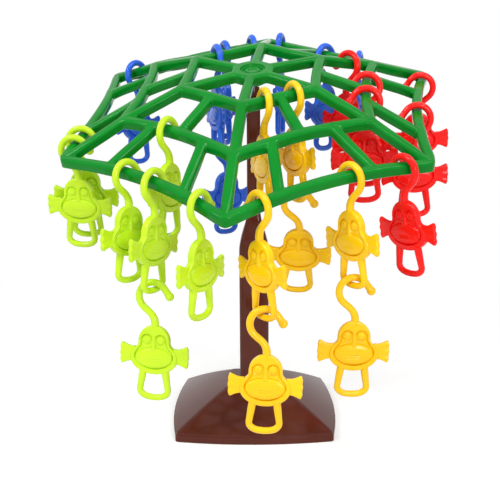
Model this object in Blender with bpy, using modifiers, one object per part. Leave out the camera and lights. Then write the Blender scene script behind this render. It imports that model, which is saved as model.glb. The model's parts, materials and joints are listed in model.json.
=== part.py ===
"""Balancing game: hooked monkeys hung on a tree crown that leans on a ball-headed pin.

Metres, +Z up. The origin is the middle of the base's underside, and the front of the
game faces -Y. The crown is modelled upright about its pivot and then leaned.
"""

import math

import bmesh
import bpy
from mathutils import Matrix, Vector

# Clearances shared by every piece
GAP = 0.0003
MERGE = 0.00001
OVERRUN = 0.002

# Base: a square foot with bowed sides and a domed top
BASE_HALF_WIDTH = 0.0486
BASE_SIDE_BOW = 0.0042
BASE_LIP_HEIGHT = 0.0046
BASE_LIP_STEP = 0.0007
BASE_SKIRT_HEIGHT = 0.0060
BASE_HEIGHT = 0.025
BASE_PLATEAU_HALF_WIDTH = 0.0155
BASE_BULGE_SHARE = 0.20
BASE_WALL = 0.0022
BASE_CORNER_RADIUS = 0.0018
BASE_DOME_LEVELS = 4
BASE_RIB_THICKNESS = 0.0016
BASE_RIB_HEIGHT = 0.0045

# Trunk: a square column with rounded corners that narrows to a slim stem
COLUMN_WIDTH = 0.019
COLUMN_CORNER = 0.003
STEM_WIDTH = 0.0086
STEM_CORNER = 0.0018
FLARE_BOTTOM = 0.114
FLARE_TOP = 0.136
NECK_RADIUS = 0.0042
NECK_LENGTH = 0.006
TENON_WIDTH = 0.0142
TENON_CORNER = 0.0016
TENON_LENGTH = 0.019
SOCKET_WALL = 0.002
SOCKET_FLOOR = 0.002

# Pivot: a ball-headed pin in the neck, and the cup under the crown's hub
PIVOT_HEIGHT = 0.21787
BALL_RADIUS = 0.0026
PIN_RADIUS = 0.0015
PIN_BORE_RADIUS = 0.0019
PIN_DEPTH = 0.011
CUP_RADIUS = 0.0055
CUP_HEIGHT = 0.0068

# Crown: six ribs, three rings and the struts between them
HUB_TOP = 0.010
HUB_RADIUS = 0.0138
HUB_THICKNESS = 0.0055
HUB_EDGE = 0.0006
RECESS_RADIUS = 0.0076
RECESS_DEPTH = 0.0016
BOSS_RADIUS = 0.0046
BOSS_HEIGHT = 0.0008
SOCKET_TUBE_WALL = 0.0023
SOCKET_MOUTH = 0.0008
RIM_RADIUS = 0.125
MIDDLE_RING_SHARE = 0.6784
INNER_RING_SHARE = 0.3728
MIDDLE_RADIUS = RIM_RADIUS * MIDDLE_RING_SHARE
INNER_RADIUS = RIM_RADIUS * INNER_RING_SHARE
INNER_DROP = 0.0047
MIDDLE_DROP = 0.0164
RIM_DROP = 0.0329
INNER_BOW = 0.0006
MIDDLE_BOW = 0.0036
RIM_BOW = 0.0069
RIM_CORNER_RADIUS = 0.0035
ROD_WIDTH = 0.0062
ROD_HEIGHT = 0.0066
ROD_CHAMFER = 0.0010
ROD_DRAFT = 0.0003
RIB_COUNT = 6

# How the crown stands at rest
SPIN_DEGREES = -8.88
LEAN_FORWARD_DEGREES = 22.80
LEAN_SIDE_DEGREES = -3.45

# Monkey: a flat moulding with a hook above and a loop below, in its own plane
DOME_RADIUS = 0.0094
MUZZLE_HALF_WIDTH = 0.0142
MUZZLE_HALF_HEIGHT = 0.0098
MUZZLE_DROP = 0.0100
HEAD_THICKNESS = 0.0044
PAD_HALF_WIDTH = 0.0116
PAD_HALF_HEIGHT = 0.0064
PAD_DROP = 0.0106
PAD_RELIEF = 0.0008
BROW_HALF_WIDTH = 0.0074
BROW_HALF_HEIGHT = 0.0030
BROW_RISE = 0.0006
BROW_RELIEF = 0.0006
EAR_NECK = 0.0156
EAR_TIP = 0.0205
EAR_NECK_HALF_HEIGHT = 0.0042
EAR_TIP_HALF_HEIGHT = 0.0064
EAR_SCALLOP = 0.0006
EAR_DROP = 0.0084
WIRE_RADIUS = 0.0021
STEM_ROOT_RADIUS = 0.0024
HOOK_BEND_RADIUS = 0.0084
HOOK_BEND_RISE = 0.0168
HOOK_BEND_OFFSET = 0.0012
STEM_BEND_RADIUS = 0.0065
HOOK_TIP_LENGTH = 0.0052
HOOK_BALL_RADIUS = 0.0025
LOOP_ROOT_HALF_WIDTH = 0.0058
LOOP_HALF_WIDTH = 0.0083
LOOP_DEPTH = 0.0140
LOOP_CORNER = 0.0034
WIRE_SIDES = 6

# Stations on the head's dome and muzzle, on the hook's bend and on its stem, in
# degrees round each arc
DOME_DEGREES = (90.0, 52.0, 12.0)
UPPER_MUZZLE_DEGREES = 37.0
LOWER_MUZZLE_DEGREES = (-24.0, -54.0, -90.0)
HOOK_BEND_DEGREES = (36.0, 72.0, 108.0, 144.0, 180.0, 216.0)
HOOK_STEM_DEGREES = (42.0,)

# Where each monkey hangs: name, rod, sector, share along the rod, and two angles in
# degrees: the way its plane faces, and how far that plane leans back
HANGING = (
    ("lime_monkey_1", "rim", 1, 0.115, -10.0, 8.0),
    ("lime_monkey_2", "rim", 1, 0.200, -4.0, 8.0),
    ("lime_monkey_3", "rim", 0, 0.617, 50.0, 0.0),
    ("lime_monkey_4", "rim", 0, 0.450, 57.0, 2.0),
    ("lime_monkey_5", "middle", 0, 0.610, 61.0, 0.0),
    ("lime_monkey_6", "rim", 0, 0.160, 57.0, 0.0),
    ("yellow_monkey_1", "rim", 5, 0.833, 126.0, -3.5),
    ("yellow_monkey_2", "rim", 5, 0.385, 127.0, -3.5),
    ("yellow_monkey_3", "inner", 5, 0.700, 110.0, 0.0),
    ("yellow_monkey_4", "inner", 5, 0.300, 118.0, -3.0),
    ("red_monkey_1", "rim", 5, 0.133, 128.0, -8.0),
    ("red_monkey_2", "rim", 4, 0.545, 177.0, -3.0),
    ("red_monkey_3", "rim", 4, 0.133, 174.0, -10.0),
    ("red_monkey_4", "middle", 4, 0.412, 177.0, 0.0),
    ("red_monkey_5", "middle", 4, 0.650, 174.0, -4.0),
    ("red_monkey_6", "inner_rib", 4, 0.515, 132.0, 0.0),
    ("blue_monkey_1", "outer_rib", 2, 0.478, 51.0, 0.0),
    ("blue_monkey_2", "inner", 2, 0.300, 110.0, 0.0),
    ("blue_monkey_3", "middle", 2, 0.583, 110.0, 0.0),
    ("blue_monkey_4", "middle", 2, 0.830, 105.0, 0.0),
    ("blue_monkey_5", "middle", 3, 0.133, 76.0, 0.0),
    ("blue_monkey_6", "middle", 3, 0.590, 47.0, 0.0),
    ("blue_monkey_7", "rim", 3, 0.620, 75.0, 0.0),
)

# Which monkeys hang in another's loop: name, the one above, and the same two angles
CHAINED = (
    ("lime_monkey_7", "lime_monkey_4", -12.0, -2.0),
    ("yellow_monkey_5", "yellow_monkey_1", -4.0, -4.0),
    ("yellow_monkey_6", "yellow_monkey_2", 2.0, -2.0),
    ("yellow_monkey_7", "yellow_monkey_4", -4.0, 17.0),
    ("blue_monkey_8", "blue_monkey_3", 38.0, 0.0),
)

# Where the struts leave the middle ring and meet the rim, as shares of a sector
STRUT_START_SHARES = (0.28, 0.72)
STRUT_END_SHARES = (0.27, 0.73)

# Colours and surface values: base colour, roughness, metallic
COLOURS = {
    "green": ((0.005, 0.33, 0.03), 0.30, 0.0),
    "brown": ((0.085, 0.018, 0.012), 0.28, 0.0),
    "steel": ((0.60, 0.60, 0.62), 0.25, 1.0),
    "lime": ((0.50, 0.85, 0.03), 0.32, 0.0),
    "yellow": ((1.00, 0.58, 0.01), 0.32, 0.0),
    "red": ((1.00, 0.02, 0.01), 0.32, 0.0),
    "blue": ((0.03, 0.13, 0.75), 0.32, 0.0),
}


def clear_scene():
    """Remove whatever the scene holds."""
    for item in list(bpy.data.objects):
        bpy.data.objects.remove(item, do_unlink=True)


def make_collection(name):
    """A collection of its own under the scene."""
    collection = bpy.data.collections.new(name)
    bpy.context.scene.collection.children.link(collection)
    return collection


def make_material(name):
    """A Principled material in one of the named colours."""
    colour, roughness, metallic = COLOURS[name]
    material = bpy.data.materials.new(name)
    material.use_nodes = True
    shader = material.node_tree.nodes["Principled BSDF"]
    shader.inputs["Base Color"].default_value = (*colour, 1.0)
    shader.inputs["Roughness"].default_value = roughness
    shader.inputs["Metallic"].default_value = metallic
    return material


def as_part(item, name, collection, material):
    """Name a finished object, give it its material and file it with the parts."""
    item.name = name
    item.data.name = name
    for owner in list(item.users_collection):
        owner.objects.unlink(item)
    collection.objects.link(item)
    item.data.materials.clear()
    item.data.materials.append(material)
    item.data.shade_smooth()
    item.data.set_sharp_from_angle(angle=math.radians(40.0))
    return item


def as_guide(item, collection):
    """Keep a helper shape out of the picture."""
    for owner in list(item.users_collection):
        owner.objects.unlink(item)
    collection.objects.link(item)
    item.hide_render = True
    item.display_type = "WIRE"
    return item


def mesh_of(item):
    """The item's evaluated mesh, welded, with its faces pointing out."""
    graph = bpy.context.evaluated_depsgraph_get()
    mesh = bpy.data.meshes.new_from_object(item.evaluated_get(graph))
    shape = bmesh.new()
    shape.from_mesh(mesh)
    bmesh.ops.remove_doubles(shape, verts=shape.verts, dist=MERGE)
    bmesh.ops.recalc_face_normals(shape, faces=shape.faces)
    shape.to_mesh(mesh)
    shape.free()
    return mesh


def from_bmesh(shape, name):
    """An object in the scene made from a bmesh."""
    mesh = bpy.data.meshes.new(name)
    shape.to_mesh(mesh)
    shape.free()
    item = bpy.data.objects.new(name, mesh)
    bpy.context.scene.collection.objects.link(item)
    return item


def solid_from_curve(curve, name):
    """Turn a curve object into a closed mesh object and remove the curve."""
    mesh = mesh_of(curve)
    item = bpy.data.objects.new(name, mesh)
    bpy.context.scene.collection.objects.link(item)
    item.matrix_world = curve.matrix_world
    bpy.data.objects.remove(curve, do_unlink=True)
    return item


def make_spline(curve, points, cyclic=False, radius_shares=None):
    """Add one poly spline through the points."""
    spline = curve.splines.new("POLY")
    spline.points.add(len(points) - 1)
    for index, place in enumerate(points):
        spline.points[index].co = (*place, 1.0)
        if radius_shares:
            spline.points[index].radius = radius_shares[index]
    spline.use_cyclic_u = cyclic
    return spline


def make_tube(name, points, radius, radius_shares=None):
    """A six-sided tube along the points, with filled ends."""
    curve = bpy.data.curves.new(name, "CURVE")
    curve.dimensions = "3D"
    curve.bevel_depth = radius
    curve.bevel_resolution = 1
    curve.use_fill_caps = True
    make_spline(curve, points, False, radius_shares)
    item = bpy.data.objects.new(name, curve)
    bpy.context.scene.collection.objects.link(item)
    return solid_from_curve(item, name)


def make_plate(name, outline, thickness):
    """A flat outline in the XZ plane, extruded evenly to both sides of it."""
    curve = bpy.data.curves.new(name, "CURVE")
    curve.dimensions = "2D"
    curve.fill_mode = "BOTH"
    curve.extrude = thickness / 2
    make_spline(curve, [(x, z, 0.0) for x, z in outline], True)
    item = bpy.data.objects.new(name, curve)
    bpy.context.scene.collection.objects.link(item)
    item.matrix_world = Matrix.Rotation(math.radians(90.0), 4, "X")
    plate = solid_from_curve(item, name)
    plate.data.transform(plate.matrix_world)
    plate.matrix_world = Matrix.Identity(4)
    return plate


def bake(item, name):
    """Replace an object by a plain mesh of what its modifiers make."""
    mesh = mesh_of(item)
    result = bpy.data.objects.new(name, mesh)
    bpy.context.scene.collection.objects.link(result)
    result.matrix_world = item.matrix_world
    bpy.data.objects.remove(item, do_unlink=True)
    return result


def make_turned(name, profile, steps):
    """A profile at +X, from top to bottom, turned about Z."""
    shape = bmesh.new()
    corners = [shape.verts.new((radius, 0.0, height)) for radius, height in profile]
    for first, second in zip(corners, corners[1:]):
        shape.edges.new((first, second))
    item = from_bmesh(shape, name)
    turn = item.modifiers.new("turn", "SCREW")
    turn.angle = math.tau
    turn.steps = steps
    turn.render_steps = steps
    turn.use_merge_vertices = True
    turn.merge_threshold = MERGE
    turn.use_normal_calculate = True
    return bake(item, name)


def make_loft(name, rings):
    """A closed solid through rings of equally many points, capped at both ends."""
    shape = bmesh.new()
    levels = [[shape.verts.new(place) for place in ring] for ring in rings]
    count = len(levels[0])
    for lower, upper in zip(levels, levels[1:]):
        for index in range(count):
            after = (index + 1) % count
            shape.faces.new((lower[index], lower[after], upper[after], upper[index]))
    shape.faces.new(list(reversed(levels[0])))
    shape.faces.new(levels[-1])
    bmesh.ops.recalc_face_normals(shape, faces=shape.faces)
    return from_bmesh(shape, name)


def make_box(name, low, high):
    """An upright box between two corners."""
    low, high = Vector(low), Vector(high)
    size = high - low
    shape = bmesh.new()
    bmesh.ops.create_cube(shape, size=1.0)
    bmesh.ops.scale(shape, vec=size, verts=shape.verts)
    bmesh.ops.translate(shape, vec=(low + high) / 2, verts=shape.verts)
    return from_bmesh(shape, name)


def combine(item, other, operation):
    """Add a Boolean modifier for one object."""
    step = item.modifiers.new(operation.lower(), "BOOLEAN")
    step.operation = operation
    step.object = other
    step.solver = "EXACT"


def combine_all(item, collection, operation):
    """Add a Boolean modifier for a whole collection."""
    step = item.modifiers.new(operation.lower(), "BOOLEAN")
    step.operation = operation
    step.operand_type = "COLLECTION"
    step.collection = collection
    step.solver = "EXACT"


def rounded_square(half_width, corner, height, bow=0.0, steps=3, side_points=1):
    """A ring of points: a square with rounded corners, its sides bowed out."""
    ring = []
    straight = half_width - corner
    for quarter in range(4):
        turn = Matrix.Rotation(quarter * math.pi / 2, 2)
        for step in range(steps):
            angle = step / (steps - 1) * math.pi / 2
            x = straight + corner * math.cos(angle)
            y = straight + corner * math.sin(angle)
            ring.append(turn @ Vector((x, y)))
        for step in range(1, side_points + 1):
            share = step / (side_points + 1)
            x = straight * (1 - 2 * share)
            y = half_width + bow * (1 - (1 - 2 * share) ** 2)
            ring.append(turn @ Vector((x, y)))
    return [(place.x, place.y, height) for place in ring]


def circle_ring(radius, height, count):
    """A ring of points on a circle that lines up with a rounded square's ring."""
    ring = []
    for index in range(count):
        angle = (index + 1) * math.tau / count
        ring.append((radius * math.cos(angle), radius * math.sin(angle), height))
    return ring


def dome_ring(share, shrink, corner, side_points):
    """A ring of the base's domed top: share 0 at the skirt, 1 at the plateau."""
    reach = BASE_HALF_WIDTH - BASE_PLATEAU_HALF_WIDTH
    rise = BASE_HEIGHT - BASE_SKIRT_HEIGHT
    climb = share + BASE_BULGE_SHARE * share * (1.0 - share)
    half_width = BASE_HALF_WIDTH - reach * share - shrink
    height = BASE_SKIRT_HEIGHT + rise * climb - shrink
    bow = BASE_SIDE_BOW * (1.0 - share)
    return rounded_square(half_width, corner, height, bow, 3, side_points)


def make_base(guides):
    """The foot: a domed shell, open below, with a socket and ribs inside."""
    side_points = 3
    low = BASE_HALF_WIDTH + BASE_LIP_STEP
    rings = [
        rounded_square(low, BASE_CORNER_RADIUS, 0.0, BASE_SIDE_BOW, 3, side_points),
        rounded_square(low, BASE_CORNER_RADIUS, BASE_LIP_HEIGHT, BASE_SIDE_BOW, 3, side_points),
        rounded_square(
            BASE_HALF_WIDTH, BASE_CORNER_RADIUS, BASE_LIP_HEIGHT + BASE_LIP_STEP,
            BASE_SIDE_BOW, 3, side_points,
        ),
    ]
    inner_corner = BASE_CORNER_RADIUS / 2
    hollow = [
        rounded_square(
            BASE_HALF_WIDTH - BASE_WALL, inner_corner, -OVERRUN, BASE_SIDE_BOW, 3, side_points
        )
    ]
    for level in range(BASE_DOME_LEVELS + 1):
        share = level / BASE_DOME_LEVELS
        rings.append(dome_ring(share, 0.0, BASE_CORNER_RADIUS, side_points))
        hollow.append(dome_ring(share, BASE_WALL, inner_corner, side_points))
    base = make_loft("base_outside", rings)
    combine(base, as_guide(make_loft("base_hollow", hollow), guides), "DIFFERENCE")

    socket_half = TENON_WIDTH / 2 + GAP + SOCKET_WALL
    inside_top = BASE_HEIGHT - BASE_WALL / 2
    socket = make_box(
        "base_socket", (-socket_half, -socket_half, 0.0), (socket_half, socket_half, inside_top)
    )
    combine(base, as_guide(socket, guides), "UNION")
    reach = BASE_HALF_WIDTH - BASE_WALL / 2
    rib_half = BASE_RIB_THICKNESS / 2
    for name, along in (("base_rib_x", (reach, rib_half)), ("base_rib_y", (rib_half, reach))):
        rib = make_box(
            name,
            (-along[0], -along[1], BASE_LIP_STEP),
            (along[0], along[1], BASE_RIB_HEIGHT),
        )
        combine(base, as_guide(rib, guides), "UNION")
    bore_half = TENON_WIDTH / 2 + GAP
    bore = make_loft(
        "base_bore",
        [
            rounded_square(bore_half, TENON_CORNER, SOCKET_FLOOR),
            rounded_square(bore_half, TENON_CORNER, BASE_HEIGHT + OVERRUN),
        ],
    )
    combine(base, as_guide(bore, guides), "DIFFERENCE")
    return bake(base, "base")


def neck_top():
    """The height of the trunk's end, where the leaning cup comes to rest on it."""
    return PIVOT_HEIGHT - NECK_RADIUS * math.tan(lean_angle()) - GAP


def make_trunk(guides):
    """The column, its flare, the slim stem and the round neck, as one moulding."""
    top = neck_top()
    column_half = COLUMN_WIDTH / 2
    stem_half = STEM_WIDTH / 2
    tenon_half = TENON_WIDTH / 2
    seat = BASE_HEIGHT + GAP
    flare = (FLARE_TOP - FLARE_BOTTOM) / 4
    rings = [
        rounded_square(tenon_half, TENON_CORNER, seat - TENON_LENGTH),
        rounded_square(tenon_half, TENON_CORNER, seat),
        rounded_square(column_half, COLUMN_CORNER, seat),
        rounded_square(column_half, COLUMN_CORNER, FLARE_BOTTOM),
        rounded_square(
            (3 * column_half + stem_half) / 4, (3 * COLUMN_CORNER + STEM_CORNER) / 4,
            FLARE_BOTTOM + 1.2 * flare,
        ),
        rounded_square(
            (column_half + 4 * stem_half) / 5, (COLUMN_CORNER + 4 * STEM_CORNER) / 5,
            FLARE_TOP - flare,
        ),
        rounded_square(stem_half, STEM_CORNER, FLARE_TOP),
        rounded_square(stem_half, STEM_CORNER, top - NECK_LENGTH),
        circle_ring(NECK_RADIUS, top - NECK_LENGTH, 16),
        circle_ring(NECK_RADIUS, top, 16),
    ]
    trunk = make_loft("trunk_outside", rings)
    bore = make_turned(
        "trunk_bore",
        [
            (0.0, top + OVERRUN),
            (PIN_BORE_RADIUS, top + OVERRUN),
            (PIN_BORE_RADIUS, PIVOT_HEIGHT - PIN_DEPTH - GAP),
            (0.0, PIVOT_HEIGHT - PIN_DEPTH - GAP),
        ],
        16,
    )
    combine(trunk, as_guide(bore, guides), "DIFFERENCE")
    return bake(trunk, "trunk")


def arc_profile(radius, first, last, steps):
    """Points (radius, height) on an arc about the origin, angles in degrees."""
    places = []
    for step in range(steps + 1):
        angle = math.radians(first + (last - first) * step / steps)
        places.append((radius * math.cos(angle), radius * math.sin(angle)))
    return places


def make_pin():
    """The pivot pin: a ball head on a straight shank, about its ball's centre."""
    neck_angle = -math.degrees(math.acos(PIN_RADIUS / BALL_RADIUS))
    profile = [(0.0, BALL_RADIUS)]
    profile += arc_profile(BALL_RADIUS, 66.0, neck_angle, 5)
    profile += [(PIN_RADIUS, -PIN_DEPTH + HUB_EDGE), (PIN_RADIUS - HUB_EDGE, -PIN_DEPTH)]
    profile += [(0.0, -PIN_DEPTH)]
    pin = make_turned("pivot_pin", profile, 16)
    pin.location = (0.0, 0.0, PIVOT_HEIGHT)
    return pin


def make_cup():
    """The cup that rides on the ball: a short plug with a round hollow below."""
    steps = 16
    hollow = (BALL_RADIUS + GAP) / math.cos(math.pi / steps) ** 2
    profile = [(0.0, CUP_HEIGHT), (CUP_RADIUS - HUB_EDGE, CUP_HEIGHT)]
    profile += [(CUP_RADIUS, CUP_HEIGHT - HUB_EDGE), (CUP_RADIUS, 0.0)]
    profile += arc_profile(hollow, 0.0, 72.0, 4)
    profile += [(0.0, hollow)]
    return make_turned("pivot_cup", profile, steps)


def hex_radius(x, y):
    """How far out a point lies, measured to the corner of its hexagon."""
    sector = math.tau / RIB_COUNT
    angle = (math.atan2(y, x) + math.pi / 2 + sector / 2) % sector - sector / 2
    across = math.hypot(x, y) * math.cos(sector / 2 - abs(angle))
    return across / math.cos(sector / 2)


def dome_height(radius):
    """The height of the rods' centre lines at a hexagon radius."""
    edge = HUB_TOP - ROD_HEIGHT / 2
    stations = (
        (0.0, edge),
        (HUB_RADIUS, edge),
        (INNER_RADIUS, HUB_TOP - INNER_DROP),
        (MIDDLE_RADIUS, HUB_TOP - MIDDLE_DROP),
        (RIM_RADIUS, HUB_TOP - RIM_DROP),
    )
    for (near, high), (far, low) in zip(stations, stations[1:]):
        if radius <= far:
            return high + (low - high) * (radius - near) / (far - near)
    return stations[-1][1]


def on_dome(x, y):
    """A point of the dome of centre lines above a place in plan."""
    return Vector((x, y, dome_height(hex_radius(x, y))))


def corner_place(radius, corner):
    """A corner of a ring in plan; corner 0 is the front one, then clockwise."""
    angle = -math.pi / 2 - corner * math.tau / RIB_COUNT
    return Vector((radius * math.cos(angle), radius * math.sin(angle)))


RINGS = {
    "inner": (INNER_RADIUS, INNER_BOW),
    "middle": (MIDDLE_RADIUS, MIDDLE_BOW),
    "rim": (RIM_RADIUS, RIM_BOW),
}


# The stretches of a rib between two rings, as shares of the crown's radius
RIB_STRETCHES = {
    "inner_rib": (INNER_RING_SHARE, MIDDLE_RING_SHARE),
    "outer_rib": (MIDDLE_RING_SHARE, 1.0),
}


def ring_point(ring, sector, share):
    """A point on a ring between one corner and the next."""
    radius, bow = RINGS[ring]
    first = corner_place(radius, sector)
    last = corner_place(radius, sector + 1)
    inward = -((first + last) / 2).normalized()
    place = first.lerp(last, share) + inward * bow * (1 - (2 * share - 1) ** 2)
    return on_dome(place.x, place.y)


def rib_point(corner, share):
    """A point on a rib, at a share of the crown's radius."""
    place = corner_place(RIM_RADIUS * share, corner)
    return on_dome(place.x, place.y)


def rod_point(rod, sector, share):
    """A point on the centre line of any rod that a monkey hangs on."""
    if rod in RIB_STRETCHES:
        near, far = RIB_STRETCHES[rod]
        return rib_point(sector, near + (far - near) * share)
    return ring_point(rod, sector, share)


def make_rod(name, points, section, cyclic=False):
    """A moulded rod with a flat top along the points."""
    curve = bpy.data.curves.new(name, "CURVE")
    curve.dimensions = "3D"
    curve.twist_mode = "Z_UP"
    curve.bevel_mode = "OBJECT"
    curve.bevel_object = section
    curve.use_fill_caps = True
    make_spline(curve, points, cyclic)
    item = bpy.data.objects.new(name, curve)
    bpy.context.scene.collection.objects.link(item)
    return solid_from_curve(item, name)


def section_points():
    """The rods' cross-section: flat on top with cut corners, sides drawn in below."""
    half_width = ROD_WIDTH / 2
    half_height = ROD_HEIGHT / 2
    half = [
        (half_width - ROD_CHAMFER, half_height),
        (half_width, half_height - ROD_CHAMFER),
        (half_width - ROD_DRAFT, -half_height),
    ]
    return half + [(-x, y) for x, y in reversed(half)]


def make_section():
    """The rods' cross-section as a curve."""
    curve = bpy.data.curves.new("rod_section", "CURVE")
    curve.dimensions = "2D"
    make_spline(curve, [(x, y, 0.0) for x, y in section_points()], True)
    item = bpy.data.objects.new("rod_section", curve)
    bpy.context.scene.collection.objects.link(item)
    return item


def ring_path(ring, steps, corner_radius=0.0):
    """The closed path of one ring, with its corners eased where asked."""
    radius = RINGS[ring][0]
    ease = corner_radius / radius
    path = []
    for sector in range(RIB_COUNT):
        shares = [step / steps for step in range(steps)]
        if ease:
            shares = [ease] + shares[1:] + [1.0 - ease]
        path += [ring_point(ring, sector, share) for share in shares]
    return path


def make_hub():
    """The crown's hub: a disc with a stepped recess above and a socket below."""
    floor = HUB_TOP - RECESS_DEPTH
    under = HUB_TOP - HUB_THICKNESS
    bore = CUP_RADIUS + GAP
    tube = bore + SOCKET_TUBE_WALL
    ceiling = CUP_HEIGHT + GAP
    profile = [
        (0.0, floor + BOSS_HEIGHT),
        (BOSS_RADIUS, floor + BOSS_HEIGHT),
        (BOSS_RADIUS, floor),
        (RECESS_RADIUS, floor),
        (RECESS_RADIUS, HUB_TOP),
        (HUB_RADIUS - HUB_EDGE, HUB_TOP),
        (HUB_RADIUS, HUB_TOP - HUB_EDGE),
        (HUB_RADIUS, under),
        (tube, under),
        (tube, SOCKET_MOUTH),
        (bore, SOCKET_MOUTH),
        (bore, ceiling),
        (0.0, ceiling),
    ]
    return make_turned("hub", profile, 16)


def make_crown():
    """The whole lattice crown as one moulding, about its pivot."""
    rods = make_collection("crown_rods")
    section = make_section()
    pieces = [
        make_rod("rim", ring_path("rim", 4, RIM_CORNER_RADIUS), section, True),
        make_rod("middle_ring", ring_path("middle", 4), section, True),
        make_rod("inner_ring", ring_path("inner", 1), section, True),
    ]
    start_share = (HUB_RADIUS - ROD_WIDTH / 2) / RIM_RADIUS
    shares = (start_share, INNER_RING_SHARE, MIDDLE_RING_SHARE, 1.0)
    for corner in range(RIB_COUNT):
        path = [rib_point(corner, share) for share in shares]
        pieces.append(make_rod(f"rib_{corner}", path, section))
        path = [ring_point("inner", corner, 0.5), ring_point("middle", corner, 0.5)]
        pieces.append(make_rod(f"short_strut_{corner}", path, section))
        for index, (start, end) in enumerate(zip(STRUT_START_SHARES, STRUT_END_SHARES)):
            path = [ring_point("middle", corner, start), ring_point("rim", corner, end)]
            pieces.append(make_rod(f"long_strut_{corner}_{index}", path, section))
    for piece in pieces:
        as_guide(piece, rods)
    hub = make_hub()
    combine_all(hub, rods, "UNION")
    crown = bake(hub, "crown")
    for piece in pieces + [section]:
        bpy.data.objects.remove(piece, do_unlink=True)
    bpy.data.collections.remove(rods)
    return crown


def lean_matrix():
    """How the crown leans at rest, without its spin."""
    forward = Matrix.Rotation(math.radians(LEAN_FORWARD_DEGREES), 4, "X")
    sideways = Matrix.Rotation(math.radians(LEAN_SIDE_DEGREES), 4, "Y")
    return sideways @ forward


def lean_angle():
    """The whole angle between the crown's axis and the vertical."""
    axis = lean_matrix().to_3x3() @ Vector((0.0, 0.0, 1.0))
    return math.acos(axis.z)


def crown_matrix():
    """Where the crown stands at rest: about the pivot, leaned and turned."""
    place = Matrix.Translation((0.0, 0.0, PIVOT_HEIGHT))
    spin = Matrix.Rotation(math.radians(SPIN_DEGREES), 4, "Z")
    return place @ lean_matrix() @ spin


def muzzle_place(degrees):
    """A point on the muzzle's oval."""
    angle = math.radians(degrees)
    x = MUZZLE_HALF_WIDTH * math.cos(angle)
    return (x, MUZZLE_HALF_HEIGHT * math.sin(angle) - MUZZLE_DROP)


def head_outline():
    """The head in outline: a dome above an oval muzzle, and a fan-shaped ear each side."""
    half = []
    for degrees in DOME_DEGREES:
        angle = math.radians(degrees)
        half.append((DOME_RADIUS * math.cos(angle), DOME_RADIUS * math.sin(angle)))
    half.append(muzzle_place(UPPER_MUZZLE_DEGREES))
    ear = [(EAR_NECK, EAR_NECK_HALF_HEIGHT), (EAR_TIP - EAR_SCALLOP, EAR_TIP_HALF_HEIGHT)]
    ear += [(EAR_TIP, 0.0)] + [(x, -z) for x, z in reversed(ear)]
    half += [(x, z - EAR_DROP) for x, z in ear]
    half += [muzzle_place(degrees) for degrees in LOWER_MUZZLE_DEGREES]
    return half + [(-x, z) for x, z in reversed(half[1:-1])]


def oval_outline(half_width, half_height, rise, count):
    """An oval in the monkey's plane."""
    outline = []
    for index in range(count):
        angle = (index + 0.5) * math.tau / count
        outline.append((half_width * math.cos(angle), rise + half_height * math.sin(angle)))
    return outline


def bend_centre():
    """The centre of the hook's bend in the monkey's own frame."""
    return Vector((-HOOK_BEND_OFFSET, 0.0, DOME_RADIUS + HOOK_BEND_RISE))


def hook_path():
    """The hook's centre line from its ball tip, over the top and down to the head."""
    centre = bend_centre()
    bend = []
    for degrees in HOOK_BEND_DEGREES:
        angle = math.radians(degrees)
        arm = Vector((math.cos(angle), 0.0, math.sin(angle)))
        bend.append(centre + HOOK_BEND_RADIUS * arm)
    along = (bend[0] - bend[1]).normalized()
    ball = bend[0] + along * HOOK_TIP_LENGTH
    path = [ball + along * HOOK_BALL_RADIUS / 2, ball - along * HOOK_BALL_RADIUS / 2] + bend
    stem_x = HOOK_BEND_OFFSET / 4
    for degrees in HOOK_STEM_DEGREES:
        angle = math.radians(degrees)
        x = stem_x - STEM_BEND_RADIUS * (1 - math.cos(angle))
        z = DOME_RADIUS + STEM_BEND_RADIUS * math.sin(angle)
        path.append(Vector((x, 0.0, z)))
    path.append(Vector((stem_x, 0.0, DOME_RADIUS - HEAD_THICKNESS / 2)))
    return path


def hook_radius_shares(count):
    """A ball at the tip, an even wire, and a stouter root at the head."""
    ball = HOOK_BALL_RADIUS / WIRE_RADIUS
    root = STEM_ROOT_RADIUS / WIRE_RADIUS
    shares = [ball, ball] + [1.0] * (count - 2)
    shares[-2:] = [root, root]
    return shares


def loop_level():
    """The height of the loop's lower bar in the monkey's own frame."""
    return -(MUZZLE_DROP + MUZZLE_HALF_HEIGHT + LOOP_DEPTH)


def loop_path():
    """The loop's centre line: down one leg, along the bar and up the other."""
    bar = loop_level()
    root = -MUZZLE_DROP - MUZZLE_HALF_HEIGHT + WIRE_RADIUS
    half = [
        (LOOP_ROOT_HALF_WIDTH, root),
        (LOOP_HALF_WIDTH, bar + LOOP_CORNER),
        (LOOP_HALF_WIDTH - LOOP_CORNER * 0.8, bar),
    ]
    left = [Vector((-x, 0.0, z)) for x, z in half]
    right = [Vector((x, 0.0, z)) for x, z in reversed(half)]
    return left + right


def make_monkey():
    """One monkey in its own plane, its head's dome about the origin."""
    pieces = make_collection("monkey_pieces")
    path = hook_path()
    muzzle = oval_outline(PAD_HALF_WIDTH, PAD_HALF_HEIGHT, -PAD_DROP, 8)
    brow = oval_outline(BROW_HALF_WIDTH, BROW_HALF_HEIGHT, BROW_RISE, 6)
    added = [
        make_tube("hook", path, WIRE_RADIUS, hook_radius_shares(len(path))),
        make_tube("loop", loop_path(), WIRE_RADIUS),
        make_plate("muzzle", muzzle, HEAD_THICKNESS + 2 * PAD_RELIEF),
        make_plate("brow", brow, HEAD_THICKNESS + 2 * BROW_RELIEF),
    ]
    for item in added:
        as_guide(item, pieces)
    head = make_plate("head", head_outline(), HEAD_THICKNESS)
    combine_all(head, pieces, "UNION")
    monkey = bake(head, "monkey")
    for item in added:
        bpy.data.objects.remove(item, do_unlink=True)
    bpy.data.collections.remove(pieces)
    return monkey


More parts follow.
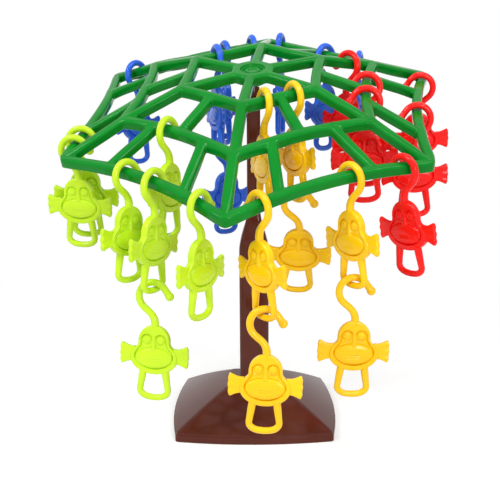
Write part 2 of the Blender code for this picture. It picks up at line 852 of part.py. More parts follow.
def mass_centre(mesh):
    """The centre of volume of a closed mesh."""
    mesh.calc_loop_triangles()
    total = 0.0
    moment = Vector((0.0, 0.0, 0.0))
    for triangle in mesh.loop_triangles:
        a, b, c = (mesh.vertices[index].co for index in triangle.vertices)
        volume = a.dot(b.cross(c))
        total += volume
        moment += volume * (a + b + c) / 4
    return moment / total


def balanced_transform(mesh):
    """Put the hook's bend at the origin and turn the monkey until it hangs plumb."""
    centre = mass_centre(mesh) - bend_centre()
    turn = math.atan2(centre.x, -centre.z)
    return Matrix.Rotation(turn, 4, "Y") @ Matrix.Translation(-bend_centre())


def distance_to_path(place, path):
    """The distance from a point to a line of straight pieces."""
    nearest = math.inf
    for first, last in zip(path, path[1:]):
        piece = last - first
        share = (place - first).dot(piece) / piece.length_squared
        share = min(1.0, max(0.0, share))
        nearest = min(nearest, (place - first - share * piece).length)
    return nearest


def wire_flat():
    """How far the flats of a six-sided wire stand from its centre line."""
    return WIRE_RADIUS * math.cos(math.pi / WIRE_SIDES)


def seat_lift(path, turn, along, corners):
    """How high the bend's centre sits over a rod's centre when the hook rests on it.

    The rod is given by its direction and the corners of its section, in world axes.
    """
    to_plane = turn.to_3x3().inverted()
    direction = to_plane @ along
    places = []
    flat = wire_flat()
    for corner in corners:
        seen = to_plane @ corner
        for offset in (-0.7 * flat, 0.0, 0.7 * flat):
            places.append(seen + direction * ((offset - seen.y) / direction.y))
    for place in places:
        place.y = 0.0
    low, high = -HOOK_BEND_RADIUS, 0.0
    for _ in range(14):
        middle = (low + high) / 2
        lift = Vector((0.0, 0.0, middle))
        gap = min(distance_to_path(place - lift, path) for place in places)
        if gap < flat + GAP:
            low = middle
        else:
            high = middle
    return high


def rod_carrier(rod, sector, share):
    """A rod's centre, direction and section corners where a monkey hangs on it."""
    stand = crown_matrix()
    step = 0.01
    centre = stand @ rod_point(rod, sector, share)
    ahead = stand @ rod_point(rod, sector, share + step)
    along = (ahead - centre).normalized()
    side = along.cross(stand.to_3x3() @ Vector((0.0, 0.0, 1.0))).normalized()
    over = side.cross(along)
    corners = [side * x + over * y for x, y in section_points()]
    return centre, along, corners


def loop_carrier(placed):
    """The same for the bar of a hanging monkey's loop."""
    centre = placed @ Vector((0.0, 0.0, loop_level()))
    along = placed.to_3x3() @ Vector((1.0, 0.0, 0.0))
    over = placed.to_3x3() @ Vector((0.0, 0.0, 1.0))
    side = along.cross(over)
    corners = []
    for index in range(8):
        angle = index * math.tau / 8
        corners.append(wire_flat() * (side * math.cos(angle) + over * math.sin(angle)))
    return centre, along, corners


def make_monkeys(parts, materials):
    """Every monkey, hung on its rod or in the loop of the one above it."""
    pattern = make_monkey()
    balanced = balanced_transform(pattern.data)
    path = [balanced @ place for place in hook_path()]
    placed = {}

    def hang(name, carrier, facing, lean):
        centre, along, corners = carrier
        turn = Matrix.Rotation(math.radians(facing), 4, "Z")
        turn = turn @ Matrix.Rotation(math.radians(lean), 4, "X")
        lift = seat_lift(path, turn, along, corners)
        transform = Matrix.Translation((0.0, 0.0, lift)) @ balanced
        mesh = pattern.data.copy()
        mesh.transform(transform)
        item = bpy.data.objects.new(name, mesh)
        bpy.context.scene.collection.objects.link(item)
        item.matrix_world = Matrix.Translation(centre) @ turn
        placed[name] = item.matrix_world @ transform
        as_part(item, name, parts, materials[name.split("_")[0]])

    for name, rod, sector, share, facing, lean in HANGING:
        hang(name, rod_carrier(rod, sector, share), facing, lean)
    for name, above, facing, lean in CHAINED:
        hang(name, loop_carrier(placed[above]), facing, lean)
    bpy.data.objects.remove(pattern, do_unlink=True)


def build():
    """Make the whole game."""
    clear_scene()
    parts = make_collection("balancing_game")
    guides = make_collection("cutters")
    materials = {name: make_material(name) for name in COLOURS}
    as_part(make_base(guides), "base", parts, materials["brown"])
    as_part(make_trunk(guides), "trunk", parts, materials["brown"])
    as_part(make_pin(), "pivot_pin", parts, materials["steel"])
    cup = as_part(make_cup(), "pivot_cup", parts, materials["green"])
    cup.matrix_world = crown_matrix()
    crown = as_part(make_crown(), "crown", parts, materials["green"])
    crown.matrix_world = crown_matrix()
    make_monkeys(parts, materials)


build()
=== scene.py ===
"""The looks of the balancing game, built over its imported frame.

Metres, +Z up, in the frame's own axes. The base, the trunk, the crown and every monkey
are built again with their rounded edges and their relief, and each rides on its body.
"""

import json
import math

import bmesh
import bpy
from mathutils import Matrix, Vector


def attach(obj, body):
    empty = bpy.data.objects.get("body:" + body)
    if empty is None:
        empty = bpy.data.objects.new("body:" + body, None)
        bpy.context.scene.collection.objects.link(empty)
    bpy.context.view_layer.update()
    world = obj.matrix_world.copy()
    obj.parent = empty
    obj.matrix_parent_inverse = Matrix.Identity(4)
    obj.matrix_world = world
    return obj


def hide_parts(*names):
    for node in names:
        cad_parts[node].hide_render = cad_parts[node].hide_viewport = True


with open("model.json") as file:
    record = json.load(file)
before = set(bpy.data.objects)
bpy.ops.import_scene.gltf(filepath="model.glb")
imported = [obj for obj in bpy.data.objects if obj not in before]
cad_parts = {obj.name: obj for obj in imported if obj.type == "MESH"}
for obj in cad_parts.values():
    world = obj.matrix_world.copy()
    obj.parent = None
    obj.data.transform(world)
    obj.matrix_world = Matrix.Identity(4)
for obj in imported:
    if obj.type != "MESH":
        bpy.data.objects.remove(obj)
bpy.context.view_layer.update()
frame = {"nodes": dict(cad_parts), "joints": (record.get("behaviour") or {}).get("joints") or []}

MERGE = 0.000001
CORNER_STEPS = 6
SIDE_POINTS = 9

# Base
BASE_HALF_WIDTH = 0.0486
BASE_SIDE_BOW = 0.0042
BASE_LIP_HEIGHT = 0.0046
BASE_LIP_STEP = 0.0007
BASE_SKIRT_HEIGHT = 0.0060
BASE_HEIGHT = 0.025
BASE_PLATEAU_HALF_WIDTH = 0.0155
BASE_BULGE_SHARE = 0.20
BASE_EDGE = 0.0005
BASE_WALL = 0.0022
BASE_CORNER_RADIUS = 0.0022
BASE_CORNER_GROWTH = 0.0012
BASE_RIB_THICKNESS = 0.0016
BASE_RIB_HEIGHT = 0.0045
BASE_DOME_LEVELS = 16
BASE_HOLLOW_LEVELS = 8
SOCKET_HALF_WIDTH = 0.0094
SOCKET_FLOOR = 0.002
BASE_BORE_HALF_WIDTH = 0.0074
BORE_CORNER = 0.0016
OVERRUN = 0.002

# Trunk
TRUNK_SEAT = 0.0253
COLUMN_WIDTH = 0.019
COLUMN_CORNER = 0.0032
COLUMN_BOW = 0.00012
STEM_WIDTH = 0.0086
STEM_CORNER = 0.0021
FLARE_BOTTOM = 0.112
FLARE_TOP = 0.138
TRUNK_TOP = 0.215783
NECK_RADIUS = 0.0042
NECK_LENGTH = 0.006
TENON_WIDTH = 0.0142
TENON_LENGTH = 0.019
PIN_BORE_RADIUS = 0.0019
PIN_BORE_DEPTH = 0.0095
FLARE_LEVELS = 14
BORE_SIDES = 32

# Crown, about its pivot
PIVOT_HEIGHT = 0.21787
SPIN_DEGREES = -8.88
LEAN_FORWARD_DEGREES = 22.80
LEAN_SIDE_DEGREES = -3.45
CORNERS = 6
HUB_TOP = 0.010
HUB_EDGE_RADIUS = 0.0138
HUB_THICKNESS = 0.0055
RECESS_RADIUS = 0.0076
STEP_RADIUS = 0.0063
STEP_DEPTH = 0.0012
RECESS_DEPTH = 0.0021
BOSS_RADIUS = 0.0046
BOSS_DEPTH = 0.0011
DIMPLE_RADIUS = 0.0028
DIMPLE_DEPTH = 0.0017
BEAD = 0.0003
SOCKET_TUBE_RADIUS = 0.0081
SOCKET_BORE_RADIUS = 0.0058
SOCKET_MOUTH = 0.0008
SOCKET_CEILING = 0.0071
RIM_RADIUS = 0.125
MIDDLE_RADIUS = 0.0848
INNER_RADIUS = 0.0466
HUB_RING_RADIUS = 0.0113
RIM_BOW = 0.0069
MIDDLE_BOW = 0.0036
INNER_BOW = 0.0006
HUB_RING_BOW = -0.0004
RIM_DROP = 0.0329
MIDDLE_DROP = 0.0164
INNER_DROP = 0.0047
INNER_KNOT = 0.5
MIDDLE_KNOTS = (0.28, 0.72)
RIM_KNOTS = (0.27, 0.73)
ROD_WIDTH = 0.0064
ROD_HEIGHT = 0.0066
ROD_TOP_ROUND = 0.0022
ROD_FOOT_ROUND = 0.0012
ROD_DRAFT = 0.0003
ROD_FLAT_SHARE = 1.15
ROD_TOP_STEPS = 5
ROD_FOOT_STEPS = 3
CELL_FILLET = 0.0019
RIM_FILLET = 0.0095
CORNER_BLEND = 0.009
KNOT_SPACING = (0.0008, 0.0016, 0.0027)
ROD_SPACING = 0.0055

# Monkey, in its own plane, the dome of its head about the origin
DOME_RADIUS = 0.0094
MUZZLE_HALF_WIDTH = 0.0142
MUZZLE_HALF_HEIGHT = 0.0098
MUZZLE_DROP = 0.0100
CHEEK_BLEND = 0.0020
HEAD_CENTRE_DROP = 0.0052
HEAD_HALF_THICKNESS = 0.0022
HEAD_SIDE = 0.0010
HEAD_ROUND = 0.0009
HEAD_RAYS = 216
LEAST_SLOPE = 1.0e-9
SEARCH_STEPS = 30
FIELD_RINGS = 38
BORDER_RINGS = 11
FIELD_CROWDING = 1.25
FIELD_HALF_HEIGHT = 0.0073
FIELD_DROP = 0.0090
FIELD_BLEND = 0.0030
PANEL_HALF_WIDTH = 0.0115
PANEL_HALF_HEIGHT = 0.0062
PANEL_DROP = 0.0101
PANEL_LEVEL = 0.0018
PANEL_BULGE = 0.0013
PANEL_POWER = 2.1
PANEL_STEP = (0.0002, -0.0003)
GROOVE_DEPTH = 0.00075
GROOVE_WIDTH = 0.00034
SOCKET_LEVEL = 0.0017
EYE_SPREAD = 0.0041
EYE_RISE = 0.0006
EYE_RADIUS = 0.0023
EYE_BULGE = 0.0008
ARCH_RADIUS = 0.0034
NOSE_HALF_WIDTH = 0.0009
NOSE_TIP_HALF_WIDTH = 0.0013
NOSE_TOP = 0.0026
NOSE_BOTTOM = -0.0058
NOSE_LEVEL = 0.0024
NOSE_TIP_LEVEL = 0.0030
NOSE_CROWN = 0.0004
NOSE_SKIRT = 0.0022
NOSE_REACH = 1.4
MOUTH_DROP = 0.0107
MOUTH_HALF_WIDTH = 0.0042
MOUTH_FULL_SHARE = 0.75
MOUTH_GAP = 0.0012
MOUTH_DEPTH = 0.0003
LINE_WIDTH = 0.00034
EAR_ROOT = 0.0118
EAR_NECK = 0.0150
EAR_TIP = 0.0208
EAR_NECK_HALF_HEIGHT = 0.0045
EAR_TIP_HALF_HEIGHT = 0.0071
EAR_CORNER = 0.0012
EAR_DROP = 0.0084
EAR_ARC = 0.0005
EAR_SCALLOP = 0.00022
EAR_LOBES = 3
EAR_HALF_THICKNESS = 0.0014
EAR_SIDE = 0.0006
EAR_ROUND = 0.0007
EAR_RIB = 0.00035
EAR_FLARE = 1.25
EAR_COLUMNS = 20
EAR_ROWS = 40
EAR_TIP_CROWDING = 1.7
EAR_SIDE_CROWDING = 1.4
HOOK_RADIUS = 0.00205
LOOP_RADIUS = 0.00187
WIRE_SIDES = 16
STEM_ROOT_RADIUS = 0.0023
STEM_FLARE_LENGTH = 0.0075
BALL_RADIUS = 0.0026
HOOK_BEND_RADIUS = 0.0084
HOOK_BEND_RISE = 0.0168
HOOK_BEND_OFFSET = 0.0012
HOOK_BEND_CENTRE = Vector((-HOOK_BEND_OFFSET, 0.0, DOME_RADIUS + HOOK_BEND_RISE))
HOOK_TIP_LENGTH = 0.0052
HOOK_START_DEGREES = 36.0
HOOK_FINISH_DEGREES = 226.0
HOOK_ARM_SHARE = 0.3
BALL_STEPS = 9
BALL_FIRST_TURN = 0.02
BALL_TURN = 0.68
BALL_FREE_STEPS = 5
BEND_STEPS = 28
STEM_STEPS = 14
STEM_LEAVE_SHARE = 0.5
STEM_ROOT_SHARE = 0.75
LOOP_ROOT_HALF_WIDTH = 0.0067
LOOP_HALF_WIDTH = 0.0084
LOOP_DEPTH = 0.0140
LOOP_SAG = 0.0003
LOOP_ROOT_RADIUS = 0.0022
LOOP_ROOT_SHARE = 0.78
LOOP_KNEE_SHARE = 0.58
LOOP_FOOT_SHARE = 0.30
LOOP_KNEE_PULL = 0.36
LOOP_FOOT_PULL = 0.40
LOOP_LEG_STEPS = 8
LOOP_CORNER_STEPS = 10
LOOP_FLARE_END = 0.2

# How the CAD monkeys hang: their turn in their own plane, and the top of the hook
HANG_TURN_DEGREES = 1.779
CAD_HOOK_TOP = 0.009812

# The angle above which an edge stays sharp
BROWN_SHARP_DEGREES = 35.0
CROWN_SHARP_DEGREES = 40.0
MONKEY_SHARP_DEGREES = 38.0

# Plastics: base colour, roughness and shine
PLASTICS = {
    "green_plastic": ((0.0002, 0.222, 0.016), 0.08, 0.12),
    "brown_plastic": ((0.108, 0.023, 0.013), 0.08, 0.17),
    "lime_plastic": ((0.57, 0.84, 0.020), 0.16, 0.26),
    "yellow_plastic": ((1.00, 0.57, 0.004), 0.16, 0.26),
    "red_plastic": ((0.97, 0.008, 0.006), 0.16, 0.24),
    "blue_plastic": ((0.022, 0.130, 0.74), 0.16, 0.24),
}
PLASTIC_IOR = 1.49
DEEP_TINT = 0.86
PALE_TINT = 1.05
PALE_LIFT = 0.003
GLOSS_SPREAD = (-0.02, 0.03)
SCUFF_ROUGHNESS = 0.10
SCUFF_RELIEF = -0.6
RIPPLE_RELIEF = 1.2
PLASTIC_BUMP = (0.22, 0.00004)

# Noises: scale and detail
CLOUDS = (45.0, 3.0)
SKIN = (1500.0, 2.0)
RIPPLE = (220.0, 1.0)
SCUFFS = (900.0, 2.0)
LATHE = (6000.0, 2.0)
TARNISH = (500.0, 3.0)
MIDDLE_SPAN = (0.3, 0.7)
SCUFF_SPAN = (0.64, 0.72)
SCUFF_TURN = (0.5, 0.9, 0.3)
SCUFF_STRETCH = (0.06, 1.0, 1.0)
SEEDS = 9

# Plastics that light goes into: how much of it, how deep, and how far each colour gets
SCATTER_WEIGHT = 0.03
SCATTER_DEPTH = 0.0006
SCATTER_REACH = {
    "lime_plastic": (0.8, 1.0, 0.2),
    "yellow_plastic": (1.0, 0.7, 0.15),
    "red_plastic": (1.0, 0.1, 0.05),
    "blue_plastic": (0.15, 0.3, 1.0),
}

# Steel
STEEL_COLOUR = (0.60, 0.60, 0.62)
STEEL_DULL_TINT = 0.7
STEEL_ROUGHNESS = (0.18, 0.34)
STEEL_BUMP = (0.15, 0.00002)
LATHE_STRETCH = (0.05, 0.05, 1.0)
TARNISH_SPAN = (0.35, 0.65)

# Camera, fitted to the photograph: a 500 pixel frame
FRAME_PIXELS = 500.0
FOCAL_PIXELS = 834.939
CENTRE_X_PIXELS = 253.915
CENTRE_Y_PIXELS = 250.305
CAMERA_DISTANCE = 0.543126
CAMERA_AIM_HEIGHT = 0.111255
CAMERA_PITCH = 0.203256
CAMERA_ROLL = -0.003718
SENSOR_WIDTH = 36.0
CLIP_START = 0.01

# Studio: the room's own light, the floor, and soft boxes (turn from the front and rise
# in degrees, width, depth, power)
ROOM_LIGHT = 0.36
FLOOR_REACH = 4.0
FLOOR_GREY = 0.86
FLOOR_ROUGHNESS = 0.9
FLOOR_FADE = (0.10, 0.45)
FLOOR_NEAR_GLOW = 0.36
FLOOR_FAR_GLOW = 0.64
LAMP_DISTANCE = 1.2
LAMPS = {
    "key_box": (-55.0, 42.0, 0.44, 0.40, 7.0),
    "right_box": (60.0, 55.0, 0.36, 0.36, 3.2),
    "top_box": (5.0, 64.0, 0.50, 0.28, 3.4),
    "front_box": (20.0, 11.0, 0.32, 0.32, 4.4),
}


def add_object(name, data):
    """An object in the scene with some data."""
    item = bpy.data.objects.new(name, data)
    bpy.context.scene.collection.objects.link(item)
    return item


def link_mesh(shape, name):
    """An object in the scene made from a bmesh, its faces turned outwards."""
    bmesh.ops.recalc_face_normals(shape, faces=shape.faces)
    mesh = bpy.data.meshes.new(name)
    shape.to_mesh(mesh)
    shape.free()
    return add_object(name, mesh)


def add_loop(shape, places):
    """The vertices of one closed loop."""
    return [shape.verts.new(place) for place in places]


def join_loops(shape, lower, upper):
    """A band of faces between two loops of equally many vertices."""
    count = len(lower)
    for index in range(count):
        after = (index + 1) % count
        shape.faces.new((lower[index], lower[after], upper[after], upper[index]))


def add_bands(shape, rings):
    """Bands of faces through rings of equally many points, and the rings' vertices."""
    loops = [add_loop(shape, ring) for ring in rings]
    for lower, upper in zip(loops, loops[1:]):
        join_loops(shape, lower, upper)
    return loops


def make_loft(name, rings):
    """A closed solid through rings of equally many points, capped at both ends."""
    shape = bmesh.new()
    loops = add_bands(shape, rings)
    shape.faces.new(loops[0])
    shape.faces.new(loops[-1])
    return link_mesh(shape, name)


def make_box(name, low, high):
    """An upright box between two corners."""
    low, high = Vector(low), Vector(high)
    shape = bmesh.new()
    bmesh.ops.create_cube(shape, size=1.0)
    bmesh.ops.scale(shape, vec=high - low, verts=shape.verts)
    bmesh.ops.translate(shape, vec=(low + high) / 2, verts=shape.verts)
    return link_mesh(shape, name)


def combine(item, other, operation):
    """Cut or add another object at once, and remove it."""
    step = item.modifiers.new(operation.lower(), "BOOLEAN")
    step.operation = operation
    step.object = other
    step.solver = "EXACT"
    graph = bpy.context.evaluated_depsgraph_get()
    mesh = bpy.data.meshes.new_from_object(item.evaluated_get(graph))
    item.modifiers.clear()
    item.data = mesh
    bpy.data.objects.remove(other, do_unlink=True)


def place_piece(item, matrix):
    """Move a piece by its points, so that its own axes stay the world's."""
    item.data.transform(matrix)
    item.matrix_world = Matrix.Identity(4)


def finish_piece(item, sharp_degrees, material):
    """Smooth shading that keeps the flats flat, and one material."""
    item.data.shade_smooth()
    item.data.set_sharp_from_angle(angle=math.radians(sharp_degrees))
    weights = item.modifiers.new("flats", "WEIGHTED_NORMAL")
    weights.keep_sharp = True
    item.data.materials.clear()
    item.data.materials.append(material)


def smooth_step(low, high, value):
    """0 below low, 1 above high, and an even ease between them."""
    share = min(1.0, max(0.0, (value - low) / (high - low)))
    return share * share * (3.0 - 2.0 * share)


def rounded_square(half_width, corner, height, bow=0.0):
    """A ring of points: a square with rounded corners, its sides bowed out."""
    ring = []
    straight = half_width - corner
    for quarter in range(4):
        turn = Matrix.Rotation(quarter * math.pi / 2, 2)
        for step in range(CORNER_STEPS):
            angle = step / (CORNER_STEPS - 1) * math.pi / 2
            x = straight + corner * math.cos(angle)
            y = straight + corner * math.sin(angle)
            ring.append(turn @ Vector((x, y)))
        for step in range(1, SIDE_POINTS + 1):
            share = step / (SIDE_POINTS + 1)
            x = straight * (1.0 - 2.0 * share)
            y = half_width + bow * (1.0 - (1.0 - 2.0 * share) ** 2)
            ring.append(turn @ Vector((x, y)))
    return [(place.x, place.y, height) for place in ring]


def dome_ring(share, shrink, corner):
    """A ring of the base's domed top: share 0 at the skirt, 1 at the plateau."""
    reach = BASE_HALF_WIDTH - BASE_PLATEAU_HALF_WIDTH
    rise = BASE_HEIGHT - BASE_SKIRT_HEIGHT
    climb = share + BASE_BULGE_SHARE * share * (1.0 - share)
    half_width = BASE_HALF_WIDTH - reach * share - shrink
    height = BASE_SKIRT_HEIGHT + rise * climb - shrink
    return rounded_square(half_width, corner, height, BASE_SIDE_BOW * (1.0 - share))


def base_outside():
    """The rings of the foot's outside: a lipped skirt and a domed top."""
    low, corner = BASE_HALF_WIDTH + BASE_LIP_STEP, BASE_CORNER_RADIUS
    skirt = [
        (low - BASE_EDGE, 0.0),
        (low, BASE_EDGE),
        (low, BASE_LIP_HEIGHT - BASE_EDGE / 2),
        (low - BASE_EDGE / 3, BASE_LIP_HEIGHT),
        (BASE_HALF_WIDTH + BASE_EDGE / 5, BASE_LIP_HEIGHT + BASE_EDGE / 3),
        (BASE_HALF_WIDTH, BASE_LIP_HEIGHT + BASE_EDGE),
    ]
    rings = [rounded_square(half, corner, height, BASE_SIDE_BOW) for half, height in skirt]
    for level in range(BASE_DOME_LEVELS):
        share = level / BASE_DOME_LEVELS
        rings.append(dome_ring(share, 0.0, corner + BASE_CORNER_GROWTH * share))
    crest = corner + BASE_CORNER_GROWTH
    rings.append(dome_ring(1.0 - BASE_EDGE / BASE_HEIGHT, 0.0, crest))
    plateau = BASE_PLATEAU_HALF_WIDTH - BASE_EDGE
    rings.append(rounded_square(plateau, crest - BASE_EDGE, BASE_HEIGHT))
    return rings


def make_base():
    """The foot, with its hollow, the ribs in it, and the trunk's socket."""
    base = make_loft("base_moulding", base_outside())
    inner, corner = BASE_HALF_WIDTH - BASE_WALL, BASE_CORNER_RADIUS / 2
    hollow = [rounded_square(inner, corner, -OVERRUN, BASE_SIDE_BOW)]
    for level in range(BASE_HOLLOW_LEVELS + 1):
        hollow.append(dome_ring(level / BASE_HOLLOW_LEVELS, BASE_WALL, corner))
    combine(base, make_loft("base_hollow", hollow), "DIFFERENCE")
    half, rib = SOCKET_HALF_WIDTH, BASE_RIB_THICKNESS / 2
    reach = BASE_HALF_WIDTH - BASE_WALL / 2
    boxes = (
        ("base_socket", half, half, 0.0, BASE_HEIGHT - BASE_WALL / 2),
        ("rib_x", reach, rib, BASE_LIP_STEP, BASE_RIB_HEIGHT),
        ("rib_y", rib, reach, BASE_LIP_STEP, BASE_RIB_HEIGHT),
    )
    for name, x, y, foot, top in boxes:
        combine(base, make_box(name, (-x, -y, foot), (x, y, top)), "UNION")
    ends = (SOCKET_FLOOR, BASE_HEIGHT + OVERRUN)
    bore = [rounded_square(BASE_BORE_HALF_WIDTH, BORE_CORNER, height) for height in ends]
    combine(base, make_loft("base_bore", bore), "DIFFERENCE")
    return base


def even_angles(count):
    """Angles all the way round, evenly spaced."""
    return [(index / count) * math.tau for index in range(count)]


def circle_ring(radius, height, angles):
    """A ring of points on a circle."""
    return [(radius * math.cos(turn), radius * math.sin(turn), height) for turn in angles]


def make_trunk():
    """The column, its long flare, the slim stem and the round neck."""
    tenon, column, stem = TENON_WIDTH / 2, COLUMN_WIDTH / 2, STEM_WIDTH / 2
    rings = [
        rounded_square(tenon, BORE_CORNER, TRUNK_SEAT - TENON_LENGTH),
        rounded_square(tenon, BORE_CORNER, TRUNK_SEAT),
        rounded_square(column - BEAD, COLUMN_CORNER, TRUNK_SEAT, COLUMN_BOW),
        rounded_square(column, COLUMN_CORNER, TRUNK_SEAT + BEAD, COLUMN_BOW),
    ]
    for level in range(FLARE_LEVELS + 1):
        share = level / FLARE_LEVELS
        ease = smooth_step(0.0, 1.0, share)
        half = column + (stem - column) * ease
        corner = COLUMN_CORNER + (STEM_CORNER - COLUMN_CORNER) * ease
        height = FLARE_BOTTOM + (FLARE_TOP - FLARE_BOTTOM) * share
        rings.append(rounded_square(half, corner, height, COLUMN_BOW * (1.0 - ease)))
    shoulder = TRUNK_TOP - NECK_LENGTH
    rings.append(rounded_square(stem, STEM_CORNER, shoulder - BEAD))
    rings.append(rounded_square(stem - BEAD, STEM_CORNER - BEAD, shoulder))
    neck = NECK_RADIUS - BEAD
    top = ((neck, shoulder + BEAD / 2), (neck, TRUNK_TOP - BEAD), (neck - BEAD, TRUNK_TOP))
    angles = even_angles(len(rings[0]))
    rings += [circle_ring(radius, height, angles) for radius, height in top]
    trunk = make_loft("trunk_moulding", rings)
    ends = (TRUNK_TOP - PIN_BORE_DEPTH, TRUNK_TOP + OVERRUN)
    angles = even_angles(BORE_SIDES)
    bore = [circle_ring(PIN_BORE_RADIUS, height, angles) for height in ends]
    combine(trunk, make_loft("trunk_bore", bore), "DIFFERENCE")
    return trunk


RINGS = {
    "hub": (HUB_RING_RADIUS, HUB_RING_BOW),
    "inner": (INNER_RADIUS, INNER_BOW),
    "middle": (MIDDLE_RADIUS, MIDDLE_BOW),
    "rim": (RIM_RADIUS, RIM_BOW),
}


def hex_radius(x, y):
    """How far out a point lies, measured to the corner of its hexagon."""
    sector = math.tau / CORNERS
    angle = (math.atan2(y, x) + math.pi / 2 + sector / 2) % sector - sector / 2
    across = math.hypot(x, y) * math.cos(sector / 2 - abs(angle))
    return across / math.cos(sector / 2)


def dome_height(radius):
    """The height of the rods' centre lines at a hexagon radius."""
    edge = HUB_TOP - ROD_HEIGHT / 2
    stations = (
        (0.0, edge),
        (HUB_EDGE_RADIUS, edge),
        (INNER_RADIUS, HUB_TOP - INNER_DROP),
        (MIDDLE_RADIUS, HUB_TOP - MIDDLE_DROP),
        (RIM_RADIUS, HUB_TOP - RIM_DROP),
    )
    for (near, high), (far, low) in zip(stations, stations[1:]):
        if radius <= far:
            return high + (low - high) * (radius - near) / (far - near)
    return stations[-1][1]


def ring_point(ring, sector, share):
    """A point on a ring between one corner and the next, clockwise from the front."""
    radius, bow = RINGS[ring]
    ends = []
    for corner in (sector, sector + 1):
        angle = -math.pi / 2 - corner * math.tau / CORNERS
        ends.append(Vector((radius * math.cos(angle), radius * math.sin(angle))))
    inward = -(ends[0] + ends[1]).normalized()
    place = ends[0].lerp(ends[1], share) + inward * bow * (1 - (2 * share - 1) ** 2)
    return Vector((place.x, place.y, dome_height(hex_radius(place.x, place.y))))


def shares_along(length):
    """Where a stretch of rod is cut into pieces: finely near its knots."""
    ends = [0.0] + [distance / length for distance in KNOT_SPACING]
    middle = 1.0 - 2.0 * ends[-1]
    count = max(2, round(middle * length / ROD_SPACING))
    shares = ends + [ends[-1] + middle * step / count for step in range(1, count)]
    return shares + [1.0 - share for share in reversed(ends)]


def ring_stretch(ring, sector, start, finish):
    """The centre line of a ring between two of its knots."""
    first, last = ring_point(ring, sector, start), ring_point(ring, sector, finish)
    shares = shares_along((last - first).length)
    return [ring_point(ring, sector, start + (finish - start) * share) for share in shares]


def straight_stretch(first, last):
    """The centre line of a straight rod between two knots."""
    return [first.lerp(last, share) for share in shares_along((last - first).length)]


def ring_stretches(ring, sector, knots):
    """The centre lines of a ring between its knots, in order."""
    return [ring_stretch(ring, sector, *ends) for ends in zip(knots, knots[1:])]


def make_cell(sector, near, far, near_knots, far_knots):
    """The rods round one opening, in order, with the opening on their left."""
    ends = ((near_knots[0], far_knots[0]), (near_knots[-1], far_knots[-1]))
    inward, outward = (
        straight_stretch(ring_point(near, sector, low), ring_point(far, sector, high))
        for low, high in ends
    )
    back = [stretch[::-1] for stretch in reversed(ring_stretches(far, sector, far_knots))]
    return ring_stretches(near, sector, near_knots) + [outward] + back + [inward[::-1]]


def crown_cells():
    """Every opening of the lattice."""
    half = INNER_KNOT
    near, far = MIDDLE_KNOTS
    rim_near, rim_far = RIM_KNOTS
    kinds = (
        ("hub", "inner", (0.0, 1.0), (0.0, half, 1.0)),
        ("inner", "middle", (0.0, half), (0.0, near, half)),
        ("inner", "middle", (half, 1.0), (half, far, 1.0)),
        ("middle", "rim", (0.0, near), (0.0, rim_near)),
        ("middle", "rim", (near, half, far), (rim_near, rim_far)),
        ("middle", "rim", (far, 1.0), (rim_far, 1.0)),
    )
    return [make_cell(sector, *kind) for sector in range(CORNERS) for kind in kinds]


def rim_stretches():
    """The rim's own centre line, all the way round, with the outside on its left."""
    stretches = []
    for sector in range(CORNERS):
        stretches += ring_stretches("rim", sector, (0.0, *RIM_KNOTS, 1.0))
    return stretches


def rod_profile():
    """Half of the rods' cross-section: inset from the centre line, and height."""
    half, top = ROD_WIDTH / 2, ROD_HEIGHT / 2
    profile = [(0.0, top), (half - ROD_TOP_ROUND * ROD_FLAT_SHARE, top)]
    for step in range(ROD_TOP_STEPS + 1):
        angle = math.pi / 2 * (1.0 - step / ROD_TOP_STEPS)
        inset = half - ROD_TOP_ROUND * (1.0 - math.cos(angle))
        profile.append((inset, top - ROD_TOP_ROUND * (1.0 - math.sin(angle))))
    foot = half - ROD_DRAFT
    for step in range(ROD_FOOT_STEPS + 1):
        angle = math.pi / 2 * step / ROD_FOOT_STEPS
        inset = foot - ROD_FOOT_ROUND * (1.0 - math.cos(angle))
        profile.append((inset, -top + ROD_FOOT_ROUND * (1.0 - math.sin(angle))))
    profile.append((0.0, -top))
    return profile


def inset_loop(stretches, inset, height, fillet):
    """The loop that runs beside a ring of rods at an inset, its corners filleted."""
    count = len(stretches)
    chords = [stretch[-1].xy - stretch[0].xy for stretch in stretches]
    lines = [chord.normalized() for chord in chords]
    lefts = [Vector((-line.y, line.x)) for line in lines]
    corners = []
    for index in range(count):
        before, after = lefts[index - 1], lefts[index]
        shift = (before + after) * inset / (1.0 + before.dot(after))
        corners.append(stretches[index][0].xy + shift)

    def rod_share(index, spot):
        """How far along a rod a spot in plan is."""
        chord = chords[index]
        return (spot - stretches[index][0].xy).dot(chord) / chord.length_squared

    def rod_height(index, spot):
        """The height of a rod's centre line beside a spot in plan."""
        first, last = stretches[index][0], stretches[index][-1]
        return first.z + (last.z - first.z) * rod_share(index, spot)

    loop = []
    reach = fillet * inset / (ROD_WIDTH / 2)
    for index, stretch in enumerate(stretches):
        after = (index + 1) % count
        start, finish = corners[index], corners[after]
        start_step = (rod_height(index - 1, start) - rod_height(index, start)) / 2
        finish_step = (rod_height(after, finish) - rod_height(index, finish)) / 2
        first, last = stretch[0], stretch[-1]
        for place in stretch[:-1]:
            share = rod_share(index, place.xy)
            sag = place - first.lerp(last, share)
            spot = start.lerp(finish, share)
            to_start, to_finish = (spot - start).length, (finish - spot).length
            level = rod_height(index, spot) + sag.z
            level += start_step * max(0.0, 1.0 - to_start / CORNER_BLEND)
            level += finish_step * max(0.0, 1.0 - to_finish / CORNER_BLEND)
            if reach > 0.0 and to_start < reach:
                spot = ease_corner(start, lines[index - 1], lines[index], reach, to_start)
            elif reach > 0.0 and to_finish < reach:
                spot = ease_corner(finish, -lines[after], -lines[index], reach, to_finish)
            spot = spot + sag.xy
            loop.append(Vector((spot.x, spot.y, level + height)))
    return loop


